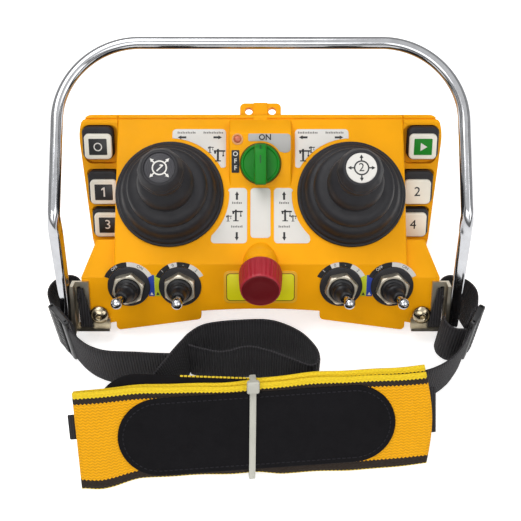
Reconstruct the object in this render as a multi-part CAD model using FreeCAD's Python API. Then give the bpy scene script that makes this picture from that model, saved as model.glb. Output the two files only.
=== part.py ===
import FreeCAD, Part
import math
import os
from FreeCAD import Placement, Rotation, Vector

# Wireless crane remote control. Millimetres and degrees.
# X is to the operator's right, Y away from the operator, Z up.
# The origin is the centre of the base, on the surface it stands on.

# Housing, side profile
deck_tilt = 25.0
front_tilt = 58.0
wing_tilt = 55.0
crease_y = -32.9
crease_z = 43.4
back_y = 55.0
wing_top_y = 49.0
valley_z = 18.5
waist_y = -14.8
shelf_drop = 5.3
belly_y = -48.9
belly_radius = 394.0
belly_tilt = 36.0
rim_width = 4.6
rim_groove_width = 1.1
rim_groove_depth = 0.9
wall = 3.0

# Housing, plan: the deck is as wide as the console and the two joysticks need
console_half = 19.5
boot_ring_radius = 33.5
console_boot_gap = 3.3
boot_edge_gap = 0.2
stick_x = console_half + console_boot_gap + boot_ring_radius
deck_half = stick_x + boot_ring_radius + boot_edge_gap
wing_width = 26.0
wing_taper = 6.0
waist_depth = 15.0
flare_inset = 5.6
back_half = deck_half + wing_width
wing_front_half = back_half - wing_taper
waist_half = back_half - waist_depth
flare_half = back_half - flare_inset
flare_corner_y = -37.5
back_corner_radius = 12.0
edge_radius = 1.6

# Shells, gasket and screws
seam_z = 5.0
gasket_thickness = 0.8
gasket_width = 2.0
shell_screw_radius = 1.5
shell_screw_length = 20.0
screw_head_radius = 3.0
screw_head_height = 1.6
screw_boss_radius = 4.0
back_screw_inset = 10.5
back_screw_x = deck_half - back_screw_inset
back_screw_y = 46.0
front_screw_outset = 7.0
front_screw_x = deck_half + front_screw_outset
front_screw_y = -27.0
thread_gap = 0.05
fit_gap = 0.2

# Front tabs, where the front face runs past the belly wall
front_tab_width = 53.5
front_tab_outset = 0.5
front_tab_outer_x = deck_half + front_tab_outset
front_tab_inner_x = front_tab_outer_x - front_tab_width
front_tab_reach = 5.7
front_tab_corner = 2.6

# Back lug
lug_half = 13.0
lug_reach = 7.8
lug_thickness = 4.0
lug_drop = 5.0
lug_hole_radius = 2.5
lug_hole_x = 7.4
lug_hole_reach = 2.7
lug_rib_half = 4.3
lug_rib_height = 1.4

# Key console
console_tilt = 42.0
console_front_y = 11.5
console_ridge_y = 36.0
console_back_y = 51.0

# Battery, board and radio
battery_width = 64.0
battery_depth = 34.0
battery_height = 12.0
battery_y = 24.0
battery_cover_lip = 3.0
battery_cover_thickness = 1.6
board_side_gap = 16.0
board_half = deck_half - board_side_gap
board_front_y = -9.0
board_back_y = 46.0
board_z = 18.0
board_thickness = 1.6
board_post_radius = 3.0
board_post_inset = 5.0
radio_width = 30.0
radio_depth = 20.0
radio_height = 4.4

# Joysticks, measured from the deck surface along its normal
stick_y = 7.0
pivot_depth = 12.0
boot_flange = 11.5
deck_hole_radius = boot_ring_radius - boot_flange
base_half = 17.0
base_bore_half = 14.5
base_depth = 29.0
base_flange_half = 25.0
base_flange_thickness = 2.5
gimbal_half = 12.5
gimbal_bore_half = 8.5
gimbal_half_height = 4.0
gimbal_pin_radius = 2.0
stick_block_half = 6.0
stick_pin_radius = 1.5
pin_gap = 0.05
stick_radius = 4.0
boot_wall = 2.0
boot_top = 41.0
# Steps of the boot: how far in from the ring, and how high
boot_steps = (
    (0.0, 0.0), (0.0, 3.0), (2.5, 4.5), (5.0, 11.0), (8.5, 15.0), (9.5, 19.0),
    (13.0, 22.0), (15.0, 27.0), (18.5, 30.0), (20.0, 35.0), (23.0, boot_top),
)
knob_bottom = 41.5
knob_height = 19.5
knob_radius = 13.2
knob_base_radius = 11.8
knob_edge = 1.8
disc_radius = 9.4
disc_thickness = 0.8

# Rotary key switch
rotary_y = 22.0
rotary_radius = 12.2
rotary_disc_height = 5.0
rotary_bar_half_width = 3.7
rotary_bar_half_length = 12.7
rotary_bar_height = 13.0
rotary_shaft_radius = 3.0
rotary_body_half = 11.0
rotary_body_depth = 18.0
rotary_gap = 0.4
lamp_inset = 5.3
lamp_x = console_half - lamp_inset
lamp_y = 33.2
lamp_radius = 2.4

# Emergency stop
stop_tilt = 73.0
stop_dome_radius = 10.8
stop_dome_length = 4.4
stop_dome_back = 2.0
stop_dome_end_radius = 8.8
stop_dome_slope = 10.0
stop_boss_radius = 10.2
stop_boss_length = 7.0
stop_knob_start = 8.6
stop_knob_length = 17.0
stop_knob_radius = 13.2
stop_flute_count = 14
stop_flute_radius = 1.5
stop_skirt_depth = 5.6
stop_skirt_gap = 0.5
stop_rod_radius = 4.5
stop_body_radius = 7.8
stop_body_length = 24.0
stop_travel = 3.5
stop_plate_half = 22.7
stop_plate_top = 4.4
stop_plate_bottom = 26.2
stop_plate_thickness = 0.8
stop_plate_hole = 12.4

# Toggle switches, measured from the front face
toggle_edge_inset = 8.7
toggle_pitch = 31.6
toggle_outer_x = deck_half - toggle_edge_inset
toggle_inner_x = toggle_outer_x - toggle_pitch
toggle_places = (-toggle_outer_x, -toggle_inner_x, toggle_inner_x, toggle_outer_x)
toggle_leans = (-12.0, 0.0, 9.0, 10.0)
toggle_drop = 14.8
washer_radius = 13.2
washer_thickness = 1.2
nut_flats = 18.0
nut_height = 5.0
bushing_radius = 7.0
bushing_bore = 6.35
bushing_rise = 3.4
toggle_ball_radius = 6.0
toggle_pivot_height = 4.6
toggle_boot_height = 13.0
toggle_boot_top_radius = 3.6
toggle_tip_height = 20.5
toggle_tip_radius = 3.1
toggle_body_width = 11.0
toggle_body_height = 20.0
toggle_body_depth = 17.0

# Side keys, measured down the wing slope from its top edge
key_drops = (14.0, 43.5, 65.5)
key_shoulders = (4.0, 5.2, 2.6)
key_wing_margin = 7.0
key_width = wing_width - key_wing_margin
key_margin = 0.6
key_height = 6.4
key_lift = 2.0
key_corner = 3.0
cap_inset = 1.8
cap_width = key_width - cap_inset
cap_length = 16.0
cap_height = 2.4
pocket_depth = 4.0
pocket_rim = 2.0
key_side_gap = 0.4
key_edge_inset = pocket_rim + key_side_gap + key_width / 2
pocket_starts = (1.4, 29.8, 54.6)
pocket_ends = (26.4, 53.6, 76.0)
pocket_undercuts = (0.0, 1.2, 1.2)
pocket_corners = (5.0, 3.0, 3.0)
key_stem_radius = 3.4
key_switch_half = 3.4
key_switch_height = 2.4
key_switch_floor = 0.6

# Labels
label_thickness = 0.3
label_boot_gap = 1.0
label_corner = 1.5
label_console_gap = 2.0
label_stick_inset = 1.3
upper_label_front = 17.0
upper_label_back = 42.0
lower_label_outset = 10.5
lower_label_front = -31.0
lower_label_back = 4.0
middle_label_half = 6.2
middle_label_front = -27.5
middle_label_gap = 2.0
legend_width = 3.0
tag_half = 3.0
tag_length = 13.2
plate_edge_gap = 1.5
plate_knob_gap = 1.0
on_plate_inner_x = -8.6
on_plate_front = 8.0
on_plate_back = 18.0
off_plate_front = -5.0
off_plate_back = 7.0
off_plate_corner = 0.75

# Guard handle and brackets
handle_radius = 3.75
handle_side_gap = 4.0
handle_x = back_half + handle_side_gap
handle_foot_y = -57.0
handle_foot_z = 8.5
handle_bend_y = -28.0
handle_bend_z = 84.0
handle_top_y = 66.0
handle_top_tilt = 27.0
handle_bend_radius = 14.0
handle_corner_radius = 48.0
bracket_thickness = 2.0
bracket_inner_x = deck_half + 4.0
bracket_step_x = deck_half + 16.0
bracket_top = 11.0
bracket_step = 36.0
bracket_bottom = 43.0
bracket_wing_height = 9.0
bracket_lip_height = 6.0
bracket_slot_inset = 3.0
bracket_slot_width = 2.6
bracket_slot_margin = 0.8
bracket_screw_x = deck_half + 10.5
bracket_screw_drop = 33.5
bracket_screw_radius = 2.5
bracket_screw_length = 10.0
bracket_head_radius = 6.0
bracket_head_height = 3.2

# Strap, buckles and neck pad
web_thickness = 2.0
web_width = 38.0
strap_tab_low = 11.5
strap_tab_high = 30.0
buckle_thickness = 4.0
buckle_height = 43.0
buckle_rail = 4.0
pad_length = 198.0
pad_width = 56.6
pad_thickness = 3.0
pad_lean = 50.0
pad_turn = 4.3
pad_foot = (-3.0, -151.3, 2.9)
pad_back_rise = 1.2
pad_layer_gap = 0.6
patch_end_gap = 20.5
patch_side_gap = 4.8
patch_length = pad_length - 2 * patch_end_gap
patch_width = pad_width - 2 * patch_side_gap
patch_thickness = 1.0
front_patch_across = 2.5
back_patch_across = -10.0
back_patch_lift = 4.0
back_patch_turn = -6.2
tie_x = -2.0
tie_width = 3.6
tie_thickness = 1.2
tie_climb = 7.0
tie_head = 7.0

os.makedirs("parts", exist_ok=True)
UP = Vector(0, 0, 1)


# Small building blocks

def save(name, *solids):
    shape = solids[0] if len(solids) == 1 else Part.makeCompound(list(solids))
    shape.exportStep("parts/" + name + ".step")


def box(x0, x1, y0, y1, z0, z1):
    return Part.makeBox(x1 - x0, y1 - y0, z1 - z0, Vector(x0, y0, z0))


def disc(radius, z0, z1, x=0.0, y=0.0):
    return Part.makeCylinder(radius, z1 - z0, Vector(x, y, z0))


def rod_along_x(radius, x0, x1, z=0.0):
    return Part.makeCylinder(radius, x1 - x0, Vector(x0, 0, z), Vector(1, 0, 0))


def rod_along_y(radius, y0, y1, z=0.0):
    return Part.makeCylinder(radius, y1 - y0, Vector(0, y0, z), Vector(0, 1, 0))


def tilted(shape, x, y, z, tilt):
    placed = shape.copy()
    turn = Placement(Vector(x, y, z), Rotation(Vector(1, 0, 0), tilt))
    placed.Placement = turn.multiply(placed.Placement)
    return placed


def mirrored(shape):
    return shape.mirror(Vector(0, 0, 0), Vector(1, 0, 0))


def both_sides(shape):
    return [mirrored(shape), shape]


def polygon(points):
    return Part.Face(Part.makePolygon(points + [points[0]]))


def prism_x(outline, x0, x1):
    face = polygon([Vector(x0, y, z) for y, z in outline])
    return face.extrude(Vector(x1 - x0, 0, 0))


def prism_z(outline, z0, z1):
    face = polygon([Vector(x, y, z0) for x, y in outline])
    return face.extrude(Vector(0, 0, z1 - z0))


def upright_edges(shape, test):
    chosen = []
    for edge in shape.Edges:
        a = edge.Vertexes[0].Point
        b = edge.Vertexes[-1].Point
        if abs(a.x - b.x) < 1e-6 and abs(a.y - b.y) < 1e-6 and test(a):
            chosen.append(edge)
    return chosen


def rounded_box(x0, x1, y0, y1, z0, z1, radius):
    block = box(x0, x1, y0, y1, z0, z1)
    return block.makeFillet(radius, upright_edges(block, lambda point: True))


def revolved(outline):
    face = polygon([Vector(r, 0, z) for r, z in outline])
    return face.revolve(Vector(0, 0, 0), UP, 360)


def fused(shapes):
    whole = shapes[0]
    for shape in shapes[1:]:
        whole = whole.fuse(shape)
    return whole.removeSplitter()


# Lines of the side profile, each a point and an angle in the YZ plane

def shift(line, distance):
    y, z, angle = line
    turn = math.radians(angle)
    return (y - distance * math.sin(turn), z + distance * math.cos(turn), angle)


def meet(first, second):
    y1, z1, a1 = first
    y2, z2, a2 = second
    c1 = math.cos(math.radians(a1))
    s1 = math.sin(math.radians(a1))
    c2 = math.cos(math.radians(a2))
    s2 = math.sin(math.radians(a2))
    t = ((y2 - y1) * s2 - (z2 - z1) * c2) / (c1 * s2 - s1 * c2)
    return (y1 + t * c1, z1 + t * s1)


def profile(lines):
    return [meet(line, lines[(i + 1) % len(lines)]) for i, line in enumerate(lines)]


def deck_z(y):
    return crease_z + (y - crease_y) * math.tan(math.radians(deck_tilt))


def on_front(drop):
    turn = math.radians(front_tilt)
    return (crease_y - drop * math.cos(turn), crease_z - drop * math.sin(turn))


base_line = (0.0, 0.0, 0.0)
back_line = (back_y, 0.0, 90.0)
deck_line = (crease_y, crease_z, deck_tilt)
front_line = (crease_y, crease_z, front_tilt)
wing_line = (wing_top_y, deck_z(wing_top_y), wing_tilt)
valley_line = (0.0, valley_z, 0.0)
waist_line = (waist_y, 0.0, 90.0)
shelf_line = (waist_y, deck_z(waist_y) - shelf_drop, deck_tilt)
console_line = (console_front_y, deck_z(console_front_y), console_tilt)
console_ridge_z = meet(console_line, (console_ridge_y, 0.0, 90.0))[1]
roof_z = console_ridge_z + wall
belly_edge_z = meet(front_line, (belly_y, 0.0, 90.0))[1]


# Places on the tilted faces: local X to the right, Y up the slope, Z out of the face

def on_deck(shape, x=0.0, y=stick_y):
    return tilted(shape, x, y, deck_z(y), deck_tilt)


def on_face(shape, x=0.0, drop=0.0):
    y, z = on_front(drop)
    return tilted(shape, x, y, z, front_tilt)


def on_wing(shape, x=0.0):
    return tilted(shape, x, wing_line[0], wing_line[1], wing_tilt)


def on_console(shape, y=rotary_y):
    place = meet(console_line, (y, 0.0, 90.0))
    return tilted(shape, 0.0, place[0], place[1], console_tilt)


def on_stop(shape):
    return tilted(shape, 0.0, crease_y, crease_z, stop_tilt)


# Housing

front_reach = meet(front_line, base_line)[0]
plan_outline = [
    (-back_half, back_y), (-wing_front_half, meet(wing_line, valley_line)[0]),
    (-waist_half, waist_y), (-flare_half, flare_corner_y), (-flare_half, front_reach),
    (flare_half, front_reach), (flare_half, flare_corner_y), (waist_half, waist_y),
    (wing_front_half, meet(wing_line, valley_line)[0]), (back_half, back_y),
]


def plan_prism(inset):
    face = polygon([Vector(x, y, 0) for x, y in plan_outline])
    if inset > 0:
        face = face.makeOffset2D(-inset, 2)
    block = face.extrude(Vector(0, 0, roof_z))
    corners = upright_edges(block, lambda point: point.y > back_y - inset - fit_gap)
    return block.makeFillet(back_corner_radius - inset, corners)


def belly(inset):
    lean = math.tan(math.radians(belly_tilt))
    height = belly_edge_z + 2 * wall
    low = belly_radius + inset + (belly_edge_z + wall) * lean
    return Part.makeCone(low, low - height * lean, height, Vector(0, belly_y - belly_radius, -wall))


def belly_drop(x):
    hollow = belly_radius - math.sqrt(belly_radius ** 2 - x ** 2)
    spread = math.tan(math.radians(belly_tilt)) + 1 / math.tan(math.radians(front_tilt))
    return (crease_z - belly_edge_z + hollow / spread) / math.sin(math.radians(front_tilt))


def softened(prism, sloped_edges):
    edges = []
    for edge in prism.Edges:
        across = edge.BoundBox.XLength > edge_radius
        level = edge.BoundBox.ZLength < edge_radius
        upright = edge.BoundBox.YLength < edge_radius
        high = edge.BoundBox.ZMin > valley_z + edge_radius
        if high and (across or (sloped_edges and not level and not upright)):
            edges.append(edge)
    return prism.makeFillet(edge_radius, edges)


def outer_block():
    deck = prism_x(profile([base_line, back_line, deck_line, front_line]), -deck_half, deck_half)
    deck = softened(deck, True)
    wing = prism_x(profile([base_line, back_line, deck_line, wing_line, valley_line, waist_line]),
                   deck_half, back_half)
    wing = softened(wing, False)
    flare = prism_x(profile([base_line, waist_line, shelf_line, front_line]), deck_half, flare_half)
    flare = softened(flare, False)
    block = fused([deck] + both_sides(wing) + both_sides(flare))
    block = block.common(plan_prism(0)).cut(belly(0))
    groove = box(lug_rib_half, back_half, -rim_width, -rim_width + rim_groove_width,
                 -rim_groove_depth, rim_groove_depth)
    return block.cut(on_deck(groove, 0, back_y)).cut(on_deck(mirrored(groove), 0, back_y))


def cavity():
    floor = shift(base_line, wall)
    back = shift(back_line, wall)
    front = shift(front_line, -wall)
    roof = shift(deck_line, -wall)
    slope = shift(wing_line, -wall - pocket_depth)
    inner = deck_half - wall
    deck = prism_x(profile([floor, back, roof, front]), -inner, inner)
    low_roof = shift(valley_line, -wall)
    wing = prism_x(profile([floor, back, slope, low_roof, waist_line]), inner - wall, back_half)
    flare_back = shift(waist_line, wall)
    flare_roof = shift(shelf_line, -wall)
    flare = prism_x(profile([floor, flare_back, flare_roof, front]), inner - wall, flare_half)
    space = fused([deck] + both_sides(wing) + both_sides(flare))
    return space.common(plan_prism(wall)).cut(belly(wall))


def console_block(inset):
    face = shift(console_line, -inset)
    ridge = meet(face, (console_ridge_y - inset, 0.0, 90.0))
    foot = meet(face, shift(deck_line, -wall - inset))
    back = (console_back_y - inset, deck_z(console_back_y - inset) - inset)
    under = (back[0], deck_z(back[0]) - 2 * wall)
    block = prism_x([foot, ridge, back, under], -console_half + inset, console_half - inset)
    if inset > 0:
        return block
    return softened(block, True)


def wing_half_at(drop):
    reach = wing_line[0] - drop * math.cos(math.radians(wing_tilt))
    share = (back_y - reach) / (back_y - meet(wing_line, valley_line)[0])
    return back_half + (wing_front_half - back_half) * share


def key_x(drop):
    return wing_half_at(drop) - key_edge_inset


def pocket(start, end, undercut, corner):
    inner = deck_half - undercut
    outline = [
        (inner, -start), (inner, -end),
        (wing_half_at(end) - pocket_rim, -end), (wing_half_at(start) - pocket_rim, -start),
    ]
    block = prism_z(outline, -pocket_depth, key_height + pocket_depth)
    rounded = upright_edges(block, lambda point: undercut == 0 or point.x > deck_half + wall)
    return on_wing(block.makeFillet(corner, rounded))


def front_tab():
    inner, outer = front_tab_inner_x, front_tab_outer_x
    inner_end = belly_drop(inner) + front_tab_reach
    outer_end = belly_drop(outer) + front_tab_reach
    start = belly_drop(0) - front_tab_reach
    outline = [(inner, -start), (inner, -inner_end), (outer, -outer_end), (outer, -start)]
    plate = prism_z(outline, -wall, 0)
    lower = upright_edges(plate, lambda point: point.y < -start - wall)
    return on_face(plate.makeFillet(front_tab_corner, lower))


def lug():
    low, high = -lug_drop - lug_thickness, -lug_drop
    plate = rounded_box(-lug_half, lug_half, -2 * wall, lug_reach, low, high, wall)
    rib = box(-lug_rib_half, lug_rib_half, -2 * wall, lug_reach, low, high + lug_rib_height)
    whole = plate.fuse(rib)
    for x in (-lug_hole_x, lug_hole_x):
        whole = whole.cut(disc(lug_hole_radius, low - wall, high + wall, x, lug_hole_reach))
    return tilted(whole, 0, back_y, deck_z(back_y), deck_tilt)


screw_places = [
    (sign * x, y)
    for x, y in ((back_screw_x, back_screw_y), (front_screw_x, front_screw_y))
    for sign in (-1, 1)
]
block = outer_block()
space = cavity()
dome = disc(stop_dome_radius, -stop_dome_back, stop_dome_length)
dome_edges = [edge for edge in dome.Edges if edge.BoundBox.ZMin > stop_dome_length - wall]
dome = dome.makeFillet(edge_radius, dome_edges)
dome_tail = Part.makeCone(stop_dome_end_radius, stop_dome_radius, stop_dome_slope,
                          Vector(0, 0, -stop_dome_back - stop_dome_slope))
boss = on_stop(fused([dome, dome_tail, disc(stop_boss_radius, -wall, stop_boss_length)]))
top_z = seam_z + gasket_thickness

shell = fused([block, console_block(0), boss, lug()]).cut(space)
shell = shell.cut(console_block(wall))
for x, y in screw_places:
    post = disc(screw_boss_radius, wall, roof_z, x, y).common(block)
    shell = shell.fuse(post)
outer_half = max(back_half, flare_half)
above_seam = box(-outer_half, outer_half, front_reach, back_y + 2 * lug_reach, top_z, roof_z + lug_reach)
posts = [disc(screw_boss_radius, wall, top_z, x, y) for x, y in screw_places]
top_shell = shell.common(above_seam)
for piece in posts + both_sides(front_tab()):
    top_shell = top_shell.fuse(piece)
top_shell = top_shell.removeSplitter()

for x, y in screw_places:
    bore = disc(shell_screw_radius + thread_gap, 0, shell_screw_length + wall, x, y)
    top_shell = top_shell.cut(bore)
for x in (-stick_x, stick_x):
    top_shell = top_shell.cut(on_deck(disc(deck_hole_radius, -2 * wall, wall), x))
for x in toggle_places:
    hole = disc(bushing_radius + thread_gap, -2 * wall, wall)
    top_shell = top_shell.cut(on_face(hole, x, toggle_drop))
stop_hole = disc(stop_rod_radius + pin_gap, -stop_body_length, 2 * stop_boss_length)
top_shell = top_shell.cut(on_stop(stop_hole))
stop_seat = disc(stop_body_radius + fit_gap, -stop_body_length - wall, 0)
top_shell = top_shell.cut(on_stop(stop_seat))
top_shell = top_shell.cut(on_console(disc(rotary_shaft_radius + pin_gap, -2 * wall, wall)))
lamp_hole = disc(lamp_radius + thread_gap, -2 * wall, wall, -lamp_x)
top_shell = top_shell.cut(on_console(lamp_hole, lamp_y))
for sizes in zip(pocket_starts, pocket_ends, pocket_undercuts, pocket_corners):
    for hollow in both_sides(pocket(*sizes)):
        top_shell = top_shell.cut(hollow)
for drop in key_drops:
    hole = disc(key_stem_radius + pin_gap, -pocket_depth - 2 * wall, 0, key_x(drop), -drop)
    for passage in both_sides(on_wing(hole)):
        top_shell = top_shell.cut(passage)
bracket_bore = on_face(disc(bracket_screw_radius + thread_gap, -bracket_screw_length, wall),
                       bracket_screw_x, bracket_screw_drop)
for bore in both_sides(bracket_bore):
    top_shell = top_shell.cut(bore)
save("top_housing", top_shell)


tray = block.common(box(-outer_half, outer_half, front_reach, back_y, 0, seam_z)).cut(space)
for x in (-board_half + board_post_inset, board_half - board_post_inset):
    for y in (board_front_y + board_post_inset, board_back_y - board_post_inset):
        tray = tray.fuse(disc(board_post_radius, wall, board_z, x, y))
tray = tray.removeSplitter()
for x, y in screw_places:
    tray = tray.cut(disc(shell_screw_radius + fit_gap, 0, wall, x, y))
    tray = tray.cut(disc(screw_head_radius + fit_gap, 0, screw_head_height, x, y))
hatch_x = battery_width / 2 + fit_gap
hatch_y = battery_depth / 2 + fit_gap
cover_x = hatch_x + battery_cover_lip
cover_y = hatch_y + battery_cover_lip
tray = tray.cut(box(-hatch_x, hatch_x, battery_y - hatch_y, battery_y + hatch_y, 0, wall))
tray = tray.cut(box(-cover_x, cover_x, battery_y - cover_y, battery_y + cover_y,
                    0, battery_cover_thickness))
save("bottom_housing", tray)

front_cut = prism_x(profile([base_line, back_line, deck_line, front_line]), -outer_half, outer_half)
front_hole = prism_x(
    profile([base_line, back_line, deck_line, shift(front_line, -gasket_width)]),
    -outer_half, outer_half)
gasket_layer = box(-outer_half, outer_half, front_reach, back_y, seam_z, top_z)
gasket_hole = plan_prism(gasket_width).cut(belly(gasket_width)).common(front_hole)
gasket = plan_prism(0).cut(belly(0)).common(front_cut).cut(gasket_hole).common(gasket_layer)
save("housing_gasket", gasket)

shell_screws = []
for x, y in screw_places:
    head = disc(screw_head_radius, 0, screw_head_height, x, y)
    shank = disc(shell_screw_radius, 0, shell_screw_length, x, y)
    shell_screws.append(head.fuse(shank).removeSplitter())
save("housing_screws", *shell_screws)

lid_x = cover_x - fit_gap
lid_y = cover_y - fit_gap
save("battery_cover", box(-lid_x, lid_x, battery_y - lid_y, battery_y + lid_y,
                          0, battery_cover_thickness))
battery = box(-battery_width / 2, battery_width / 2,
              battery_y - battery_depth / 2, battery_y + battery_depth / 2,
              battery_cover_thickness, battery_cover_thickness + battery_height)
save("battery_pack", battery)
board_top = board_z + board_thickness
save("main_board", box(-board_half, board_half, board_front_y, board_back_y, board_z, board_top))
radio_front = board_front_y + 2 * board_post_inset
save("radio_module", box(-radio_width / 2, radio_width / 2, radio_front, radio_front + radio_depth,
                         board_top, board_top + radio_height))


# Joysticks

def joystick_base():
    top = -wall
    flange_box = box(-base_flange_half, base_flange_half, -base_flange_half, base_flange_half,
                     top - base_flange_thickness, top)
    can = box(-base_half, base_half, -base_half, base_half, top - base_depth, top)
    bore = box(-base_bore_half, base_bore_half, -base_bore_half, base_bore_half,
               top - base_depth + wall, 0)
    pins = rod_along_x(gimbal_pin_radius + pin_gap, -base_half, base_half, -pivot_depth)
    return flange_box.fuse(can).cut(bore).cut(pins).removeSplitter()


def gimbal_ring():
    low = -pivot_depth - gimbal_half_height
    high = -pivot_depth + gimbal_half_height
    ring = box(-gimbal_half, gimbal_half, -gimbal_half, gimbal_half, low, high)
    hole = box(-gimbal_bore_half, gimbal_bore_half, -gimbal_bore_half, gimbal_bore_half, low, high)
    ring = ring.cut(hole)
    pin_end = base_half - fit_gap
    for start, end in ((-pin_end, -gimbal_half), (gimbal_half, pin_end)):
        ring = ring.fuse(rod_along_x(gimbal_pin_radius, start, end, -pivot_depth))
    bores = rod_along_y(stick_pin_radius + pin_gap, -gimbal_half, gimbal_half, -pivot_depth)
    return ring.cut(bores).removeSplitter()


def stick_rod():
    low = -pivot_depth - gimbal_half_height
    high = -pivot_depth + gimbal_half_height
    reach = gimbal_bore_half - fit_gap
    cross = box(-stick_block_half, stick_block_half, -reach, reach, low, high)
    pins = rod_along_y(stick_pin_radius, -gimbal_half + fit_gap, gimbal_half - fit_gap, -pivot_depth)
    shaft = disc(stick_radius, -pivot_depth, knob_bottom + knob_height / 2)
    return cross.fuse(pins).fuse(shaft).removeSplitter()


def knob():
    top = knob_bottom + knob_height
    edge = knob_edge
    body = revolved([
        (0, knob_bottom), (knob_base_radius, knob_bottom), (knob_radius, top - 3 * edge),
        (knob_radius - edge / 2, top - 2 * edge), (disc_radius + edge / 2, top), (0, top)])
    body = body.cut(disc(stick_radius + thread_gap, knob_bottom, knob_bottom + knob_height / 2))
    return body.cut(disc(disc_radius + thread_gap, top - disc_thickness, top))


def knob_disc():
    top = knob_bottom + knob_height
    return disc(disc_radius, top - disc_thickness, top)


def boot():
    outer = [(boot_ring_radius - inset, height) for inset, height in boot_steps]
    neck = stick_radius + thread_gap
    inner = [(r - boot_wall, z - boot_wall) for r, z in outer[2:-1]]
    shape = [(neck, boot_top), (neck, boot_top - 2 * boot_wall)]
    shape += list(reversed(inner)) + [(deck_hole_radius, 0.0)]
    return revolved(outer + shape)


joysticks = (("left", -stick_x), ("right", stick_x))
for side, x in joysticks:
    save(side + "_joystick_base", on_deck(joystick_base(), x))
    save(side + "_gimbal", on_deck(gimbal_ring(), x))
    save(side + "_stick", on_deck(stick_rod(), x))
    save(side + "_knob", on_deck(knob(), x), on_deck(knob_disc(), x))
    save(side + "_boot", on_deck(boot(), x))


# Rotary key switch and lamp

rotary_body = box(-rotary_body_half, rotary_body_half, -rotary_body_half, rotary_body_half,
                  -wall - rotary_body_depth, -wall)
rotary_well = disc(rotary_shaft_radius + pin_gap, -wall - rotary_body_depth / 2, -wall)
save("rotary_switch_body", on_console(rotary_body.cut(rotary_well)))
grip = rounded_box(-rotary_bar_half_width, rotary_bar_half_width,
                   -rotary_bar_half_length, rotary_bar_half_length,
                   rotary_gap, rotary_bar_height, rotary_bar_half_width * 0.9)
rotary = disc(rotary_radius, rotary_gap, rotary_disc_height).fuse(grip)
rotary = rotary.fuse(disc(rotary_shaft_radius, -rotary_body_depth / 2, rotary_gap))
save("rotary_knob", on_console(rotary.removeSplitter()))
lamp = disc(lamp_radius, -wall, lamp_radius / 2, -lamp_x)
save("status_led", on_console(lamp, lamp_y))


# Emergency stop

stop_body = disc(stop_body_radius, -stop_body_length, -fit_gap)
stop_body = stop_body.cut(disc(stop_rod_radius + pin_gap, -stop_body_length / 2, 0))
save("estop_body", on_stop(stop_body))
rod_end = stop_knob_start + stop_skirt_depth + 2 * wall
plunger = disc(stop_rod_radius, -stop_body_length / 2 + stop_travel + fit_gap, rod_end)
save("estop_plunger", on_stop(plunger))
knob_end = stop_knob_start + stop_knob_length
crown = revolved([
    (0, stop_knob_start), (stop_knob_radius, stop_knob_start),
    (stop_knob_radius, knob_end - wall), (stop_knob_radius - wall, knob_end), (0, knob_end)])
skirt_bore = stop_boss_radius + stop_skirt_gap
crown = crown.cut(disc(skirt_bore, stop_knob_start, stop_knob_start + stop_skirt_depth))
crown = crown.cut(disc(stop_rod_radius + pin_gap, stop_knob_start, rod_end))
for i in range(stop_flute_count):
    turn = math.radians(360.0 * i / stop_flute_count)
    reach = stop_knob_radius + stop_flute_radius / 3
    flute = disc(stop_flute_radius, stop_knob_start, knob_end,
                 reach * math.cos(turn), reach * math.sin(turn))
    crown = crown.cut(flute)
save("estop_knob", on_stop(crown))
plate = rounded_box(-stop_plate_half, stop_plate_half, -stop_plate_bottom, -stop_plate_top,
                    0, stop_plate_thickness, wall)
plate = on_face(plate).cut(on_stop(disc(stop_plate_hole, -stop_body_length, stop_body_length)))
save("estop_plate", plate)


# Toggle switches

def hexagon(flats, z0, z1):
    corner = flats / 2 / math.cos(math.radians(30))
    outline = [(corner * math.cos(math.radians(60 * i)), corner * math.sin(math.radians(60 * i)))
               for i in range(6)]
    return prism_z(outline, z0, z1)


def toggle_body():
    half = toggle_body_width / 2
    can = box(-half, half, -toggle_body_height / 2, toggle_body_height / 2,
              -wall - toggle_body_depth, -wall)
    tube = disc(bushing_radius, -wall, bushing_rise)
    hollow = disc(bushing_bore, -wall, bushing_rise)
    return can.fuse(tube).cut(hollow).removeSplitter()


def toggle_nut():
    low = washer_thickness
    nut = hexagon(nut_flats, low, low + nut_height)
    nut = nut.cut(disc(bushing_radius + thread_gap, low, bushing_rise))
    return nut.cut(disc(toggle_ball_radius + 2 * fit_gap, bushing_rise, low + nut_height))


def toggle_lever(lean):
    shoulder = toggle_ball_radius / 2
    ball = Part.makeSphere(toggle_ball_radius)
    sleeve_foot = math.sqrt(toggle_ball_radius ** 2 - shoulder ** 2)
    sleeve = Part.makeCone(sleeve_foot, toggle_boot_top_radius, toggle_boot_height - shoulder,
                           Vector(0, 0, shoulder))
    shank = disc(toggle_tip_radius * 0.8, toggle_boot_height, toggle_tip_height)
    tip = Part.makeSphere(toggle_tip_radius, Vector(0, 0, toggle_tip_height))
    lever = ball.fuse(sleeve).fuse(shank).fuse(tip).removeSplitter()
    turn = Rotation(Vector(0, 1, 0), lean)
    lever.Placement = Placement(Vector(0, 0, toggle_pivot_height), turn)
    return lever


washer = disc(washer_radius, 0, washer_thickness).cut(
    disc(bushing_radius + thread_gap, 0, washer_thickness))
save("toggle_bodies", *[on_face(toggle_body(), x, toggle_drop) for x in toggle_places])
save("toggle_washers", *[on_face(washer, x, toggle_drop) for x in toggle_places])
save("toggle_nuts", *[on_face(toggle_nut(), x, toggle_drop) for x in toggle_places])
for i, (x, lean) in enumerate(zip(toggle_places, toggle_leans)):
    save("toggle_lever_%d" % (i + 1), on_face(toggle_lever(lean), x, toggle_drop))


# Side keys: three on each wing

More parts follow.
